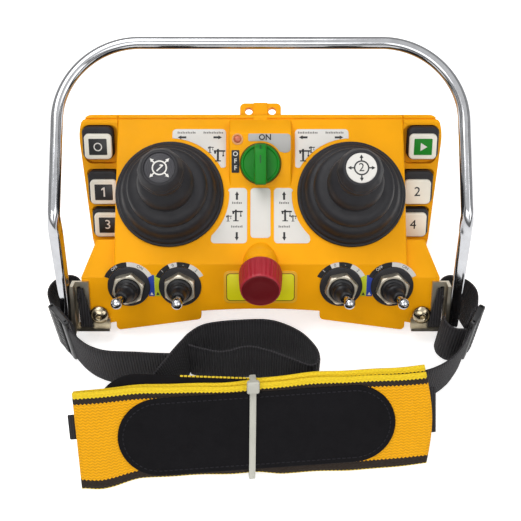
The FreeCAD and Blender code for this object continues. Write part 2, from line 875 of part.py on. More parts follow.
def key_body(drop, shoulder):
    low = -pocket_depth + key_lift
    x = key_x(drop)
    half = cap_length / 2
    pad = rounded_box(x - key_width / 2, x + key_width / 2, -drop - half - key_margin,
                      -drop + half + shoulder, low, low + key_height, key_corner)
    stem_end = -pocket_depth - wall + fit_gap
    return pad.fuse(disc(key_stem_radius, stem_end, low, x, -drop)).removeSplitter()


def key_cap(drop):
    low = -pocket_depth + key_lift + key_height
    x = key_x(drop)
    return rounded_box(x - cap_width / 2, x + cap_width / 2, -drop - cap_length / 2,
                       -drop + cap_length / 2, low, low + cap_height, key_corner - 1)


def key_switch(drop):
    top = -pocket_depth - wall
    x = key_x(drop)
    can = box(x - key_switch_half, x + key_switch_half, -drop - key_switch_half,
              -drop + key_switch_half, top - key_switch_height, top)
    return can.cut(disc(key_stem_radius + fit_gap, top - key_switch_height + key_switch_floor, top, x, -drop))


switches = []
for i, (drop, shoulder) in enumerate(zip(key_drops, key_shoulders)):
    sides = (("left", mirrored), ("right", Part.Shape.copy))
    for side, place in sides:
        name = side + "_key_%d" % (i + 1)
        save(name, place(on_wing(key_body(drop, shoulder))))
        save(name + "_cap", place(on_wing(key_cap(drop))))
        switches.append(place(on_wing(key_switch(drop))))
save("key_switches", *switches)


# Deck labels, legend plates and tags

def label(x0, x1, y0, y1):
    sheet = rounded_box(x0, x1, y0, y1, 0, label_thickness, label_corner)
    for x in (-stick_x, stick_x):
        sheet = sheet.cut(disc(boot_ring_radius + label_boot_gap, 0, label_thickness, x))
    return on_deck(sheet)


def legend(x):
    outside = washer_radius + legend_width
    ring = disc(outside, 0, label_thickness)
    ring = ring.cut(disc(washer_radius + fit_gap, 0, label_thickness))
    upper = box(-outside, outside, 0, outside, 0, label_thickness)
    return on_face(ring.common(upper), x, toggle_drop)


upper_inner = console_half + label_console_gap
upper_outer = stick_x - label_stick_inset
lower_inner = middle_label_half + middle_label_gap
lower_outer = console_half + lower_label_outset
labels = [label(-middle_label_half, middle_label_half, middle_label_front, lower_label_back)]
labels += both_sides(label(upper_inner, upper_outer, upper_label_front, upper_label_back))
labels += both_sides(label(lower_inner, lower_outer, lower_label_front, lower_label_back))
labels += [legend(x) for x in toggle_places]
tag_x = (toggle_inner_x + toggle_outer_x) / 2
tag = box(-tag_half, tag_half, -tag_length / 2, tag_length / 2, 0, label_thickness)
for x in (toggle_inner_x, toggle_outer_x):
    tag = tag.cut(disc(washer_radius + fit_gap, 0, label_thickness, x - tag_x))
labels += both_sides(on_face(tag, tag_x, toggle_drop))
plate_reach = console_half - plate_edge_gap
knob_clear = rotary_radius + plate_knob_gap
on_plate = rounded_box(on_plate_inner_x, plate_reach, on_plate_front, on_plate_back,
                       0, label_thickness, label_corner)
off_plate = rounded_box(-plate_reach, -knob_clear, off_plate_front, off_plate_back,
                        0, label_thickness, off_plate_corner)
labels += [on_console(on_plate.cut(disc(knob_clear, 0, label_thickness)))]
labels += [on_console(off_plate)]
save("panel_labels", *labels)


# Guard handle: straight runs joined by tangent arcs

def rounded_path(points, radii):
    edges = []
    start = points[0]
    for before, corner, after, radius in zip(points, points[1:], points[2:], radii):
        into = (before - corner).normalize()
        out = (after - corner).normalize()
        half_turn = (math.pi - into.getAngle(out)) / 2
        reach = radius * math.tan(half_turn)
        first = corner + into * reach
        last = corner + out * reach
        inward = (into + out).normalize()
        middle = corner + inward * (radius / math.cos(half_turn) - radius)
        edges.append(Part.LineSegment(start, first).toShape())
        edges.append(Part.Arc(first, middle, last).toShape())
        start = last
    edges.append(Part.LineSegment(start, points[-1]).toShape())
    return Part.Wire(edges)


top_rise = (handle_top_y - handle_bend_y) * math.tan(math.radians(handle_top_tilt))
handle_points = [
    Vector(-handle_x, handle_foot_y, handle_foot_z), Vector(-handle_x, handle_bend_y, handle_bend_z),
    Vector(-handle_x, handle_top_y, handle_bend_z + top_rise),
    Vector(handle_x, handle_top_y, handle_bend_z + top_rise),
    Vector(handle_x, handle_bend_y, handle_bend_z), Vector(handle_x, handle_foot_y, handle_foot_z),
]
handle_radii = [handle_bend_radius, handle_corner_radius, handle_corner_radius, handle_bend_radius]
handle_path = rounded_path(handle_points, handle_radii)
leg = (handle_points[1] - handle_points[0]).normalize()
section = Part.Wire(Part.makeCircle(handle_radius, handle_points[0], leg))
handle = handle_path.makePipeShell([section], True, False)
for point in (handle_points[0], handle_points[-1]):
    handle = handle.fuse(Part.makeSphere(handle_radius, point))
save("guard_handle", handle.removeSplitter())


bracket_outer_x = handle_x - handle_radius - thread_gap


def bracket():
    outer_x = bracket_outer_x
    outline = [
        (bracket_inner_x, -bracket_step), (bracket_inner_x, -bracket_bottom),
        (outer_x, -bracket_bottom), (outer_x, -bracket_top),
        (bracket_step_x, -bracket_top), (bracket_step_x, -bracket_step),
    ]
    sheet = prism_z(outline, 0, bracket_thickness)
    upturn = box(outer_x - bracket_thickness, outer_x, -bracket_bottom, -bracket_top,
                 0, bracket_wing_height)
    lip = box(bracket_inner_x, outer_x, -bracket_bottom, -bracket_bottom + bracket_thickness,
              0, bracket_lip_height)
    slot_end = outer_x - bracket_thickness - bracket_slot_margin
    slot = rounded_box(slot_end - bracket_slot_width, slot_end,
                       -bracket_bottom + bracket_slot_inset, -bracket_top - bracket_slot_inset,
                       -wall, bracket_wing_height, bracket_slot_width / 3)
    bore = disc(bracket_screw_radius + thread_gap, -wall, wall, bracket_screw_x, -bracket_screw_drop)
    return on_face(sheet.fuse(upturn).fuse(lip).cut(slot).cut(bore).removeSplitter())


def bracket_screw():
    head_radius = (bracket_head_radius ** 2 + bracket_head_height ** 2) / (2 * bracket_head_height)
    ball = Part.makeSphere(head_radius, Vector(0, 0, bracket_thickness + bracket_head_height - head_radius))
    head = ball.common(disc(bracket_head_radius, bracket_thickness, 2 * bracket_head_radius))
    shank = disc(bracket_screw_radius, -bracket_screw_length + fit_gap, bracket_thickness)
    return on_face(head.fuse(shank).removeSplitter(), bracket_screw_x, bracket_screw_drop)


save("left_bracket", mirrored(bracket()))
save("right_bracket", bracket())
save("bracket_screws", *both_sides(bracket_screw()))


# Webbing standing on its edge: a wall of even thickness along a line on the floor

def webbing(points, low, high):
    half = web_thickness / 2
    left = []
    right = []
    for i, (x, y) in enumerate(points):
        before = points[max(i - 1, 0)]
        after = points[min(i + 1, len(points) - 1)]
        into = Vector(x - before[0], y - before[1], 0)
        out = Vector(after[0] - x, after[1] - y, 0)
        into = into.normalize() if into.Length > 0 else out.normalize()
        out = out.normalize() if out.Length > 0 else into
        along = (into + out).normalize()
        reach = half / max(along.dot(into), 0.5)
        left.append((x - along.y * reach, y + along.x * reach))
        right.append((x + along.y * reach, y - along.x * reach))
    return prism_z(left + list(reversed(right)), low, high)


def buckle(x0, y0, x1, y1):
    length = math.hypot(x1 - x0, y1 - y0)
    frame = box(0, length, -buckle_thickness / 2, buckle_thickness / 2, 0, buckle_height)
    window = (length - 3 * buckle_rail) / 2
    for start in (buckle_rail, 2 * buckle_rail + window):
        slot = box(start, start + window, -buckle_thickness, buckle_thickness,
                   buckle_rail / 2, buckle_height - buckle_rail / 2)
        frame = frame.cut(slot)
    turn = math.degrees(math.atan2(y1 - y0, x1 - x0))
    frame.Placement = Placement(Vector(x0, y0, 0), Rotation(UP, turn))
    return frame


left_run = [
    (-handle_x + 6.7, -75.25), (-handle_x + 13.0, -82.0), (-handle_x + 21.0, -87.5),
    (-handle_x + 32.0, -91.0), (-70.0, -91.5), (-60.0, -91.8), (-51.2, -92.2),
]
right_run = [
    (handle_x + 4.3, -75.55), (handle_x, -84.0), (handle_x - 6.5, -92.5), (handle_x - 16.0, -99.5),
    (handle_x - 30.0, -104.0), (60.0, -106.7), (20.0, -109.9), (-20.0, -113.6), (-60.0, -116.6),
]
loop_line = [
    (-56.0, -107.5), (-53.0, -101.0), (-49.0, -92.0), (-45.0, -84.0), (-41.0, -77.5), (-32.0, -72.0),
    (-14.0, -69.0), (6.0, -68.5), (22.0, -75.5), (31.5, -86.0), (34.0, -94.5), (29.5, -99.5),
    (18.0, -95.5), (6.0, -90.5), (-7.0, -87.0), (-22.0, -90.0), (-33.0, -88.0), (-42.6, -85.0),
]
right_tail = [
    (handle_x + 1.9, -75.4), (handle_x - 5.0, -74.8), (handle_x - 9.5, -70.5), (handle_x - 10.5, -66.0),
]
slot_x = bracket_outer_x - bracket_thickness - bracket_slot_margin - bracket_slot_width / 2
left_tab = [
    (-slot_x, -49.0), (-slot_x, -38.0), (-handle_x + 5.5, -33.5), (-handle_x - 1.0, -32.5),
    (-handle_x - 7.5, -40.0), (-handle_x - 5.9, -60.3),
]
right_tab = [
    (slot_x, -49.0), (slot_x, -38.0), (handle_x - 5.5, -33.5), (handle_x + 1.0, -32.5),
    (handle_x + 9.0, -40.0), (handle_x + 12.4, -60.55),
]
save("left_strap", webbing(left_run, 0, web_width), webbing(left_tab, strap_tab_low, strap_tab_high))
save("right_strap", webbing(right_run, 0, web_width), webbing(right_tail, 0, web_width),
     webbing(right_tab, strap_tab_low, strap_tab_high))
save("strap_loop", webbing(loop_line, 0, web_width))
save("left_buckle", buckle(-handle_x - 5.5, -61.0, -handle_x + 6.5, -75.0))
save("right_buckle", buckle(handle_x + 12.5, -61.5, handle_x + 4.5, -75.2))


# Neck pad: two layers leaning on the folded strap, tied together

def on_pad(shape):
    placed = shape.copy()
    lean = Placement(Vector(0, 0, 0), Rotation(Vector(1, 0, 0), pad_lean))
    turn = Placement(Vector(*pad_foot), Rotation(UP, pad_turn))
    placed.Placement = turn.multiply(lean).multiply(placed.Placement)
    return placed


def layer(rise, low):
    return on_pad(box(-pad_length / 2, pad_length / 2, rise, rise + pad_width, low, low + pad_thickness))


def patch(across, middle, low, turn):
    sheet = rounded_box(-patch_length / 2, patch_length / 2, -patch_width / 2, patch_width / 2,
                        low, low + patch_thickness, patch_width * 0.48)
    sheet.rotate(Vector(0, 0, 0), UP, turn)
    sheet.translate(Vector(across, middle, 0))
    return on_pad(sheet)


back_low = -pad_layer_gap - pad_thickness
save("pad_front", layer(0, 0))
save("pad_back", layer(pad_back_rise, back_low))
back_patch_middle = pad_back_rise + pad_width / 2 + back_patch_lift
save("pad_patches", patch(front_patch_across, pad_width / 2, pad_thickness, 0),
     patch(back_patch_across, back_patch_middle, back_low - patch_thickness, back_patch_turn))
tie_low = back_low - patch_thickness - thread_gap
tie_high = pad_thickness + patch_thickness + thread_gap
tie_top = pad_back_rise + pad_width + thread_gap
tie_space = [
    (-thread_gap, tie_high), (-thread_gap, -thread_gap), (pad_back_rise - thread_gap, back_low - thread_gap),
    (pad_back_rise + tie_climb, tie_low), (tie_top, tie_low), (tie_top, tie_high),
]
tie_foot = -thread_gap - tie_thickness
tie_under = tie_low - tie_thickness
tie_over = tie_high + tie_thickness
tie_outside = [
    (tie_foot, tie_over), (tie_foot, -thread_gap - tie_thickness / 2),
    (pad_back_rise - thread_gap - tie_thickness / 2, back_low - thread_gap - tie_thickness),
    (pad_back_rise + tie_climb, tie_under),
    (tie_top + tie_thickness, tie_under), (tie_top + tie_thickness, tie_over),
]
band = prism_x(tie_outside, tie_x - tie_width / 2, tie_x + tie_width / 2)
band = band.cut(prism_x(tie_space, tie_x - tie_width, tie_x + tie_width))
lock = box(tie_x - tie_head / 2, tie_x + tie_head / 2, tie_top - tie_head, tie_top + tie_thickness,
           tie_high, tie_high + tie_head / 2)
save("cable_tie", on_pad(band.fuse(lock).removeSplitter()))
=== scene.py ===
import math

import bmesh
import bpy
from mathutils import Matrix, Vector


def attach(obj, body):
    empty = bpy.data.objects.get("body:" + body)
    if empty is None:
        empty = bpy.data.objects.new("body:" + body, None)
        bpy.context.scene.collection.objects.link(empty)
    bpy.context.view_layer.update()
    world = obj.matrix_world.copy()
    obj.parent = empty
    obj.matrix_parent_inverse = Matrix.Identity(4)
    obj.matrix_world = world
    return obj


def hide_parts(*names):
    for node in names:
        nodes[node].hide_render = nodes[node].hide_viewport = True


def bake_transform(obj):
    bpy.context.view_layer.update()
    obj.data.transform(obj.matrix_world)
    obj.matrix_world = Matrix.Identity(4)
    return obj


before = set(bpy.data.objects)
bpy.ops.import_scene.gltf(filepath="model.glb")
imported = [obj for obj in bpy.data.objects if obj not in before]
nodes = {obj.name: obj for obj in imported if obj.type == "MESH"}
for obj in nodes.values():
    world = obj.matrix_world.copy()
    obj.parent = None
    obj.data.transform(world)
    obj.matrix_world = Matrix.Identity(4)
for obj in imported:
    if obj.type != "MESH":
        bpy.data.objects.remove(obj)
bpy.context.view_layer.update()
scene = bpy.context.scene
scene.view_settings.view_transform = "Standard"

MM = 0.001

# Sizes shared with the part, in millimetres and degrees
DECK_TILT, FRONT_TILT, WING_TILT = 25.0, 58.0, 55.0
CONSOLE_TILT, STOP_TILT = 42.0, 73.0
CREASE_Y, CREASE_Z = -32.9, 43.4
STICK_X, STICK_Y = 56.3, 7.0
CONSOLE_FRONT_Y, ROTARY_Y, LAMP_X, LAMP_Y = 11.5, 22.0, -14.2, 33.2
WING_TOP_Y = 49.0
TOGGLE_X = (-81.3, -49.7, 49.7, 81.3)
TOGGLE_LEAN = (-12.0, 0.0, 9.0, 10.0)
TOGGLE_DROP = 14.8
SIDES = (("left", -1), ("right", 1))


def deck_z(y):
    return CREASE_Z + (y - CREASE_Y) * math.tan(math.radians(DECK_TILT))


def face(x, y, z, tilt):
    """Frame on a tilted face: X right, Y up the slope, Z out. Its unit is the millimetre."""
    turn = Matrix.Rotation(math.radians(tilt), 4, "X")
    return Matrix.Scale(MM, 4) @ Matrix.Translation((x, y, z)) @ turn


def on_console(y):
    rise = (y - CONSOLE_FRONT_Y) * math.tan(math.radians(CONSOLE_TILT))
    return face(0, y, deck_z(CONSOLE_FRONT_Y) + rise, CONSOLE_TILT)


DECK = {side: face(sign * STICK_X, STICK_Y, deck_z(STICK_Y), DECK_TILT) for side, sign in SIDES}
PANEL = face(0, STICK_Y, deck_z(STICK_Y), DECK_TILT)
FRONT = face(0, CREASE_Y, CREASE_Z, FRONT_TILT)
WING = face(0, WING_TOP_Y, deck_z(WING_TOP_Y), WING_TILT)
CONSOLE = on_console(ROTARY_Y)
STOP = face(0, CREASE_Y, CREASE_Z, STOP_TILT)
WORLD = Matrix.Scale(MM, 4)


# Materials

def linear(red, green, blue):
    def one(value):
        value /= 255.0
        return value / 12.92 if value <= 0.04045 else ((value + 0.055) / 1.055) ** 2.4
    return (one(red), one(green), one(blue), 1.0)


class Nodes:
    """The node tree of a material or world, with short ways to add and join nodes."""

    def __init__(self, owner, shader="Principled BSDF"):
        owner.use_nodes = True
        self.owner, self.tree = owner, owner.node_tree
        self.shader = self.tree.nodes[shader]

    def put(self, node, key, value):
        if isinstance(value, bpy.types.NodeSocket):
            self.tree.links.new(value, node.inputs[key])
        else:
            node.inputs[key].default_value = value

    def add(self, kind, inputs=(), **settings):
        node = self.tree.nodes.new("ShaderNode" + kind)
        for key, value in settings.items():
            setattr(node, key, value)
        for key, value in dict(inputs).items():
            self.put(node, key, value)
        return node

    def set(self, key, value):
        self.put(self.shader, key, value)

    def place(self, kind="Object"):
        return self.add("TexCoord").outputs[kind]

    def noise(self, where, scale, detail=2.0, roughness=0.5):
        values = {"Vector": where, "Scale": scale, "Detail": detail, "Roughness": roughness}
        return self.add("TexNoise", values).outputs["Fac"]

    def math(self, operation, first, second=0.0):
        return self.add("Math", {0: first, 1: second}, operation=operation).outputs[0]

    def spread(self, value, low, high, start=0.3, end=0.7):
        values = {"Value": value, "From Min": start, "From Max": end, "To Min": low, "To Max": high}
        return self.add("MapRange", values).outputs["Result"]

    def mix(self, share, first, second):
        return self.add("Mix", {0: share, 6: first, 7: second}, data_type="RGBA").outputs[2]

    def wave(self, value, pitch):
        return self.math("SINE", self.math("MULTIPLY", value, 2 * math.pi / pitch))

    def within(self, value, low, high):
        above, below = self.math("GREATER_THAN", value, low), self.math("LESS_THAN", value, high)
        return self.math("MULTIPLY", above, below)

    def weave_map(self):
        """The places along and across a piece of webbing, in millimetres."""
        where = self.add("SeparateXYZ", {0: self.place("UV")})
        return where.outputs["X"], where.outputs["Y"]

    def seen(self):
        """1 for rays from the camera, from mirrors and through glass, 0 for the others."""
        rays = self.add("LightPath").outputs
        either = self.math("MAXIMUM", rays["Is Camera Ray"], rays["Is Glossy Ray"])
        return self.math("MAXIMUM", either, rays["Is Transmission Ray"])

    def mottled(self, share, colour, dark):
        self.set("Base Color", self.mix(share, darker(colour, dark), colour))

    def bump(self, height, strength, distance):
        values = {"Height": height, "Strength": strength, "Distance": distance}
        self.set("Normal", self.add("Bump", values).outputs["Normal"])


def darker(colour, share):
    return tuple(c * share for c in colour[:3]) + (1.0,)


def surface(name):
    return Nodes(bpy.data.materials.new(name))


def moulded(name, colour, roughness, grain=0.25, grain_size=2600.0, mottle=0.86, specular=0.45):
    """Moulded plastic or rubber: fine grain, slightly uneven colour and gloss."""
    made = surface(name)
    where = made.place()
    cloud = made.noise(where, 45.0, 3.0)
    fine = made.noise(where, grain_size, 3.0, 0.6)
    smear = made.noise(where, 160.0, 4.0, 0.6)
    made.mottled(made.spread(cloud, 0.0, 1.0), linear(*colour), mottle)
    made.set("Roughness", made.spread(smear, roughness - 0.07, roughness + 0.09))
    made.set("Specular IOR Level", specular)
    made.bump(fine, grain, 0.0002)
    return made.owner


def polished(name, colour, roughness, scratch=0.02):
    """Chromed or steel metal with faint rubbing marks."""
    made = surface(name)
    where = made.place()
    cloud = made.noise(where, 120.0, 4.0, 0.6)
    fine = made.noise(where, 2400.0, 5.0, 0.7)
    made.mottled(made.spread(cloud, 0.0, 1.0), linear(*colour), 0.82)
    made.set("Metallic", 1.0)
    made.set("Roughness", made.spread(cloud, roughness - 0.03, roughness + 0.06))
    made.bump(fine, scratch, 0.00005)
    return made.owner


def ribbed_webbing(name, colour):
    """Black webbing: cross ribs along its length, fine threads over them."""
    made = surface(name)
    along, over = made.weave_map()
    rib, thread = made.wave(along, 1.6), made.wave(over, 0.9)
    fuzz = made.noise(made.place(), 900.0, 4.0, 0.7)
    tone = made.math("ADD", made.spread(rib, 0.0, 0.7, -1.0, 1.0), made.spread(fuzz, 0.0, 0.3))
    made.mottled(tone, linear(*colour), 0.3)
    made.set("Roughness", made.spread(fuzz, 0.62, 0.85))
    made.set("Specular IOR Level", 0.25)
    made.bump(made.math("ADD", rib, made.math("MULTIPLY", thread, 0.35)), 0.7, 0.0003)
    return made.owner


def striped_webbing(name, field, edge, stripe):
    """Pad webbing: chevron weave, a black zigzag stripe near each long side and pale selvages."""
    made = surface(name)
    field, edge, stripe = linear(*field), linear(*edge), linear(*stripe)
    along, over = made.weave_map()
    zigzag = made.math("MULTIPLY", made.math("PINGPONG", along, 1.5), 0.55)
    row, cross = made.wave(made.math("SUBTRACT", over, zigzag), 1.7), made.wave(along, 0.75)
    fuzz = made.noise(made.place(), 700.0, 4.0, 0.7)
    tone = made.math("ADD", made.spread(row, 0.0, 0.75, -1.0, 1.0), made.spread(fuzz, 0.0, 0.25))
    base = made.mix(tone, darker(field, 0.72), field)
    lower = made.math("ADD", over, made.math("MULTIPLY", made.math("PINGPONG", along, 1.1), 0.7))
    low_start, low_end, high_start, high_end = PAD_STRIPES
    stripes = made.math("ADD", made.within(lower, high_start, high_end),
                        made.within(lower, low_start, low_end))
    selvage = made.math("ADD", made.math("GREATER_THAN", lower, high_end),
                        made.math("LESS_THAN", lower, low_start))
    rough_edge = made.mix(made.spread(cross, 0.0, 1.0, -1.0, 1.0), darker(edge, 0.8), edge)
    made.set("Base Color", made.mix(stripes, made.mix(selvage, base, rough_edge), stripe))
    made.set("Roughness", made.spread(fuzz, 0.6, 0.82))
    made.set("Specular IOR Level", 0.25)
    made.bump(made.math("ADD", row, made.math("MULTIPLY", cross, 0.5)), 0.45, 0.0003)
    return made.owner


PAD_STRIPES = (1.0, 6.3, 50.6, 53.9)
WEB = ribbed_webbing("webbing_black", (56, 54, 57))
PAD = striped_webbing("webbing_yellow", field=(255, 180, 0), edge=(244, 208, 36), stripe=(40, 30, 22))
YELLOW = moulded("housing_yellow", (252, 172, 0), 0.5, 0.22, 2200.0, 0.93, 0.16)
RUBBER = moulded("black_rubber", (33, 32, 36), 0.55, 0.25, 3000.0, 0.75, 0.36)
BLACK = moulded("black_plastic", (30, 30, 32), 0.38, 0.15, 2600.0, 0.8)
CHROME = polished("chrome", (190, 191, 194), 0.1)
BRACKET = polished("bracket_steel", (208, 200, 182), 0.34, 0.05)
# Dull steel with a tan tint: the steel is real, the tint is a painted reflection of the yellow housing.
SCREW_STEEL_WITH_PAINTED_REFLECTION = polished("screw_steel_painted_reflection", (178, 166, 142), 0.2)
TOGGLE_RUBBER = moulded("toggle_rubber", (20, 20, 24), 0.4, 0.1, specular=0.35)
KNOB_TOP = moulded("knob_top", (50, 49, 54), 0.5, 0.1)
STEEL = polished("steel", (190, 188, 186), 0.28, 0.12)
GREEN = moulded("green_plastic", (14, 130, 26), 0.45, specular=0.25)
RED = moulded("red_plastic", (172, 30, 46), 0.42)
# The knob's front face gets a darker red than its side: painted shade.
STOP_FACE_SHADE_RED = moulded("stop_face_painted_shade_red", (110, 12, 22), 0.5)
CREAM = moulded("cream_plastic", (242, 238, 224), 0.42)
WHITE = moulded("label_white", (224, 221, 215), 0.45, 0.08, 3500.0, 0.95)
GREY = moulded("plate_grey", (180, 178, 175), 0.4, 0.08)
PLATE = moulded("plate_yellow", (244, 238, 20), 0.42, 0.08)
INK = moulded("print_black", (26, 26, 28), 0.5, 0.05)
LEMON = moulded("binding_lemon", (236, 204, 44), 0.7, 0.1)
THREAD = moulded("thread_black", (30, 29, 34), 0.7, 0.1, specular=0.2)
PATCH = moulded("patch_black", (17, 16, 19), 0.66, 0.35, 1300.0, 0.75, 0.1)
NYLON = moulded("nylon", (200, 199, 188), 0.45)
AMBER = moulded("lamp_amber", (205, 112, 82), 0.25)
NUTS = polished("nut_steel", (226, 218, 200), 0.44, 0.03)
BLUE = moulded("tag_blue", (35, 65, 165), 0.5, 0.06)
LIME = moulded("tag_lime", (196, 206, 40), 0.5, 0.06)
AMBER_PLATE = moulded("plate_border", (246, 186, 40), 0.45, 0.08)
OLIVE = moulded("plate_line", (112, 88, 6), 0.5, 0.06)
DARK_GREEN = moulded("groove_green", (8, 80, 22), 0.5, 0.06)
TAN = moulded("lamp_rim", (232, 170, 110), 0.4, 0.06)
GREY_INK = moulded("print_grey", (120, 116, 112), 0.5, 0.05)
BOARD = moulded("board_green", (20, 90, 50), 0.5)
BATTERY = moulded("battery_case", (50, 52, 56), 0.5)

# Finishes of the nodes that stay. The pieces below stand for all the others
FINISH = (
    (YELLOW, "top_housing bottom_housing battery_cover"),
    (STEEL, "housing_screws radio_module left_gimbal right_gimbal left_stick right_stick"),
    (STEEL, "estop_plunger toggle_bodies"),
    (BLACK, "left_joystick_base right_joystick_base rotary_switch_body estop_body key_switches"),
    (BRACKET, "left_bracket right_bracket"),
    (RUBBER, "housing_gasket"),
    (BATTERY, "battery_pack"),
    (BOARD, "main_board"),
)
for finish, names in FINISH:
    for name in names.split():
        nodes[name].data.materials.clear()
        nodes[name].data.materials.append(finish)


# Mesh building, in millimetres

def eased(share):
    share = min(max(share, 0.0), 1.0)
    return share * share * (3 - 2 * share)


def walls(count, rings, closed=False):
    """Faces between rings of count points each."""
    faces = []
    for k in range(rings if closed else rings - 1):
        for i in range(count):
            j, after = (i + 1) % count, (k + 1) % rings
            faces.append([k * count + i, k * count + j, after * count + j, after * count + i])
    return faces


def ends(count, total):
    """The first and the last face of a stack of rings."""
    return [list(reversed(range(count))), [total - count + i for i in range(count)]]


def lathe(profile, count=72, shape=None):
    """A profile of (radius, height) turned about Z. shape(turn, height) scales the radius."""
    points, faces, rings = [], [], []
    for radius, height in profile:
        ring = []
        for i in range(count if radius > 1e-6 else 1):
            turn = 2 * math.pi * i / count
            reach = radius * (shape(turn, height) if shape else 1.0)
            ring.append(len(points))
            points.append((reach * math.cos(turn), reach * math.sin(turn), height))
        rings.append(ring)
    for low, high in zip(rings, rings[1:]):
        for i in range(count):
            j = (i + 1) % count
            corners = [low[i % len(low)], low[j % len(low)], high[j % len(high)], high[i % len(high)]]
            corners = list(dict.fromkeys(corners))
            if len(corners) > 2:
                faces.append(corners)
    return points, faces


def two_faced(columns, rows):
    """Faces of a thin sheet: two grids of points, one after the other, joined along every edge."""
    faces = []
    row = rows + 1
    half = (columns + 1) * row
    for i in range(columns):
        for j in range(rows):
            a = i * row + j
            faces.append([a, a + 1, a + row + 1, a + row])
            faces.append([half + a, half + a + row, half + a + row + 1, half + a + 1])
        for j in (0, rows):
            a = i * row + j
            faces.append([a, a + row, half + a + row, half + a])
    for i in (0, columns):
        for j in range(rows):
            a = i * row + j
            faces.append([a, a + 1, half + a + 1, half + a])
    return faces


def inset(outline, distance):
    """The outline moved inwards."""
    inner = []
    for i, (x, y) in enumerate(outline):
        into = Vector((x, y)) - Vector(outline[i - 1])
        out = Vector(outline[(i + 1) % len(outline)]) - Vector((x, y))
        into, out = into.normalized(), out.normalized()
        along = (into + out).normalized()
        reach = distance / max(along.dot(into), 0.4)
        inner.append((x - along.y * reach, y + along.x * reach))
    return inner


def slab(outline, low, high, edge=0.0, steps=3):
    """A plate with that anticlockwise outline and rounded top edges."""
    rings = [(outline, low)]
    if edge > 0:
        for k in range(steps + 1):
            turn = math.pi / 2 * k / steps
            ring = inset(outline, edge * (1 - math.cos(turn))) if k else outline
            rings.append((ring, high - edge + edge * math.sin(turn)))
    else:
        rings.append((outline, high))
    count = len(outline)
    points = [(x, y, z) for ring, z in rings for x, y in ring]
    return points, ends(count, len(points)) + walls(count, len(rings))


def rounded(corners, radius, steps=6):
    """An anticlockwise outline with its sharp corners turned into arcs."""
    outline = []
    for i, corner in enumerate(corners):
        here = Vector(corner)
        into, out = Vector(corners[i - 1]) - here, Vector(corners[(i + 1) % len(corners)]) - here
        reach_limit = min(into.length, out.length) * 0.48
        into, out = into.normalized(), out.normalized()
        half = into.angle(out) / 2
        if half > math.radians(80):
            outline.append(tuple(here))
            continue
        reach = min(radius / math.tan(half), reach_limit)
        size = reach * math.tan(half)
        centre = here + (into + out).normalized() * (size / math.sin(half))
        first, last = here + into * reach - centre, here + out * reach - centre
        start = math.atan2(first.y, first.x)
        sweep = math.atan2(first.cross(last), first.dot(last))
        for k in range(steps + 1):
            turn = start + sweep * k / steps
            outline.append((centre.x + size * math.cos(turn), centre.y + size * math.sin(turn)))
    return outline


def rectangle(x0, x1, y0, y1, radius, steps=6):
    return rounded([(x0, y0), (x1, y0), (x1, y1), (x0, y1)], radius, steps)


def flat_ring(outer, inner, low, high):
    return lathe([(inner, low), (outer, low), (outer, high), (inner, high), (inner, low)], 48)


def moved(shape, place):
    points, faces = shape
    return [tuple(place @ Vector(p)) for p in points], faces


def shifted(shape, x=0.0, y=0.0, z=0.0, turn=0.0):
    return moved(shape, Matrix.Translation((x, y, z)) @ Matrix.Rotation(math.radians(turn), 4, "Z"))


def flipped(shape):
    points, faces = shape
    return [(-x, y, z) for x, y, z in points], [list(reversed(f)) for f in faces]


def joined(shapes):
    points, faces = [], []
    for more_points, more_faces in shapes:
        start = len(points)
        points += more_points
        faces += [[start + i for i in f] for f in more_faces]
    return points, faces


def arrow(length, width, head, low, high):
    """An arrow along +X from the origin."""
    half, wing = width / 2, head * 0.55
    neck = length - head
    tip = [(neck, -half), (neck, -wing), (length, 0), (neck, wing), (neck, half)]
    return slab(tip + [(0, half), (0, -half)], low, high)


def lettering(text, size, low, high, x=0.0, y=0.0, turn=0.0, weight=0.0):
    curve = bpy.data.curves.new("lettering", "FONT")
    curve.body = text
    curve.size = size
    curve.align_x, curve.align_y = "CENTER", "CENTER"
    curve.extrude = (high - low) / 2
    curve.offset = weight
    curve.resolution_u = 3
    holder = bpy.data.objects.new("lettering", curve)
    scene.collection.objects.link(holder)
    bpy.context.view_layer.update()
    graph = bpy.context.evaluated_depsgraph_get()
    solid = bpy.data.meshes.new_from_object(holder.evaluated_get(graph))
    points = [tuple(v.co) for v in solid.vertices]
    faces = [list(p.vertices) for p in solid.polygons]
    bpy.data.objects.remove(holder)
    bpy.data.curves.remove(curve)
    bpy.data.meshes.remove(solid)
    return shifted((points, faces), x, y, (low + high) / 2, turn)


ONE = [(-0.02, -0.36), (0.09, -0.36), (0.09, 0.36), (0.0, 0.36), (-0.17, 0.23), (-0.17, 0.12), (-0.02, 0.2)]


def numeral(text, size, low, high, x=0.0, y=0.0):
    """One digit. The 1 gets a flag, so that it isn't taken for a bar."""
    if text == "1":
        return shifted(slab([(a * size, b * size) for a, b in ONE], low, high), x, y)
    return lettering(text, size, low, high, x, y)


def make(name, shape, material, place, body="root", stands_for=(), smooth=38.0):
    """A mesh piece, built in a millimetre frame, that rides on a body."""
    points, faces = shape
    mesh = bpy.data.meshes.new(name)
    mesh.from_pydata([place @ Vector(p) for p in points], [], faces)
    form = bmesh.new()
    form.from_mesh(mesh)
    bmesh.ops.recalc_face_normals(form, faces=form.faces)
    form.to_mesh(mesh)
    form.free()
    mesh.materials.append(material)
    mesh.shade_smooth()
    mesh.set_sharp_from_angle(angle=math.radians(smooth))
    made = bpy.data.objects.new(name, mesh)
    scene.collection.objects.link(made)
    if body:
        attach(made, body)
    if stands_for:
        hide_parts(*stands_for)
    return made


# Joysticks: bellows boots in two halves, knobs, inlaid discs

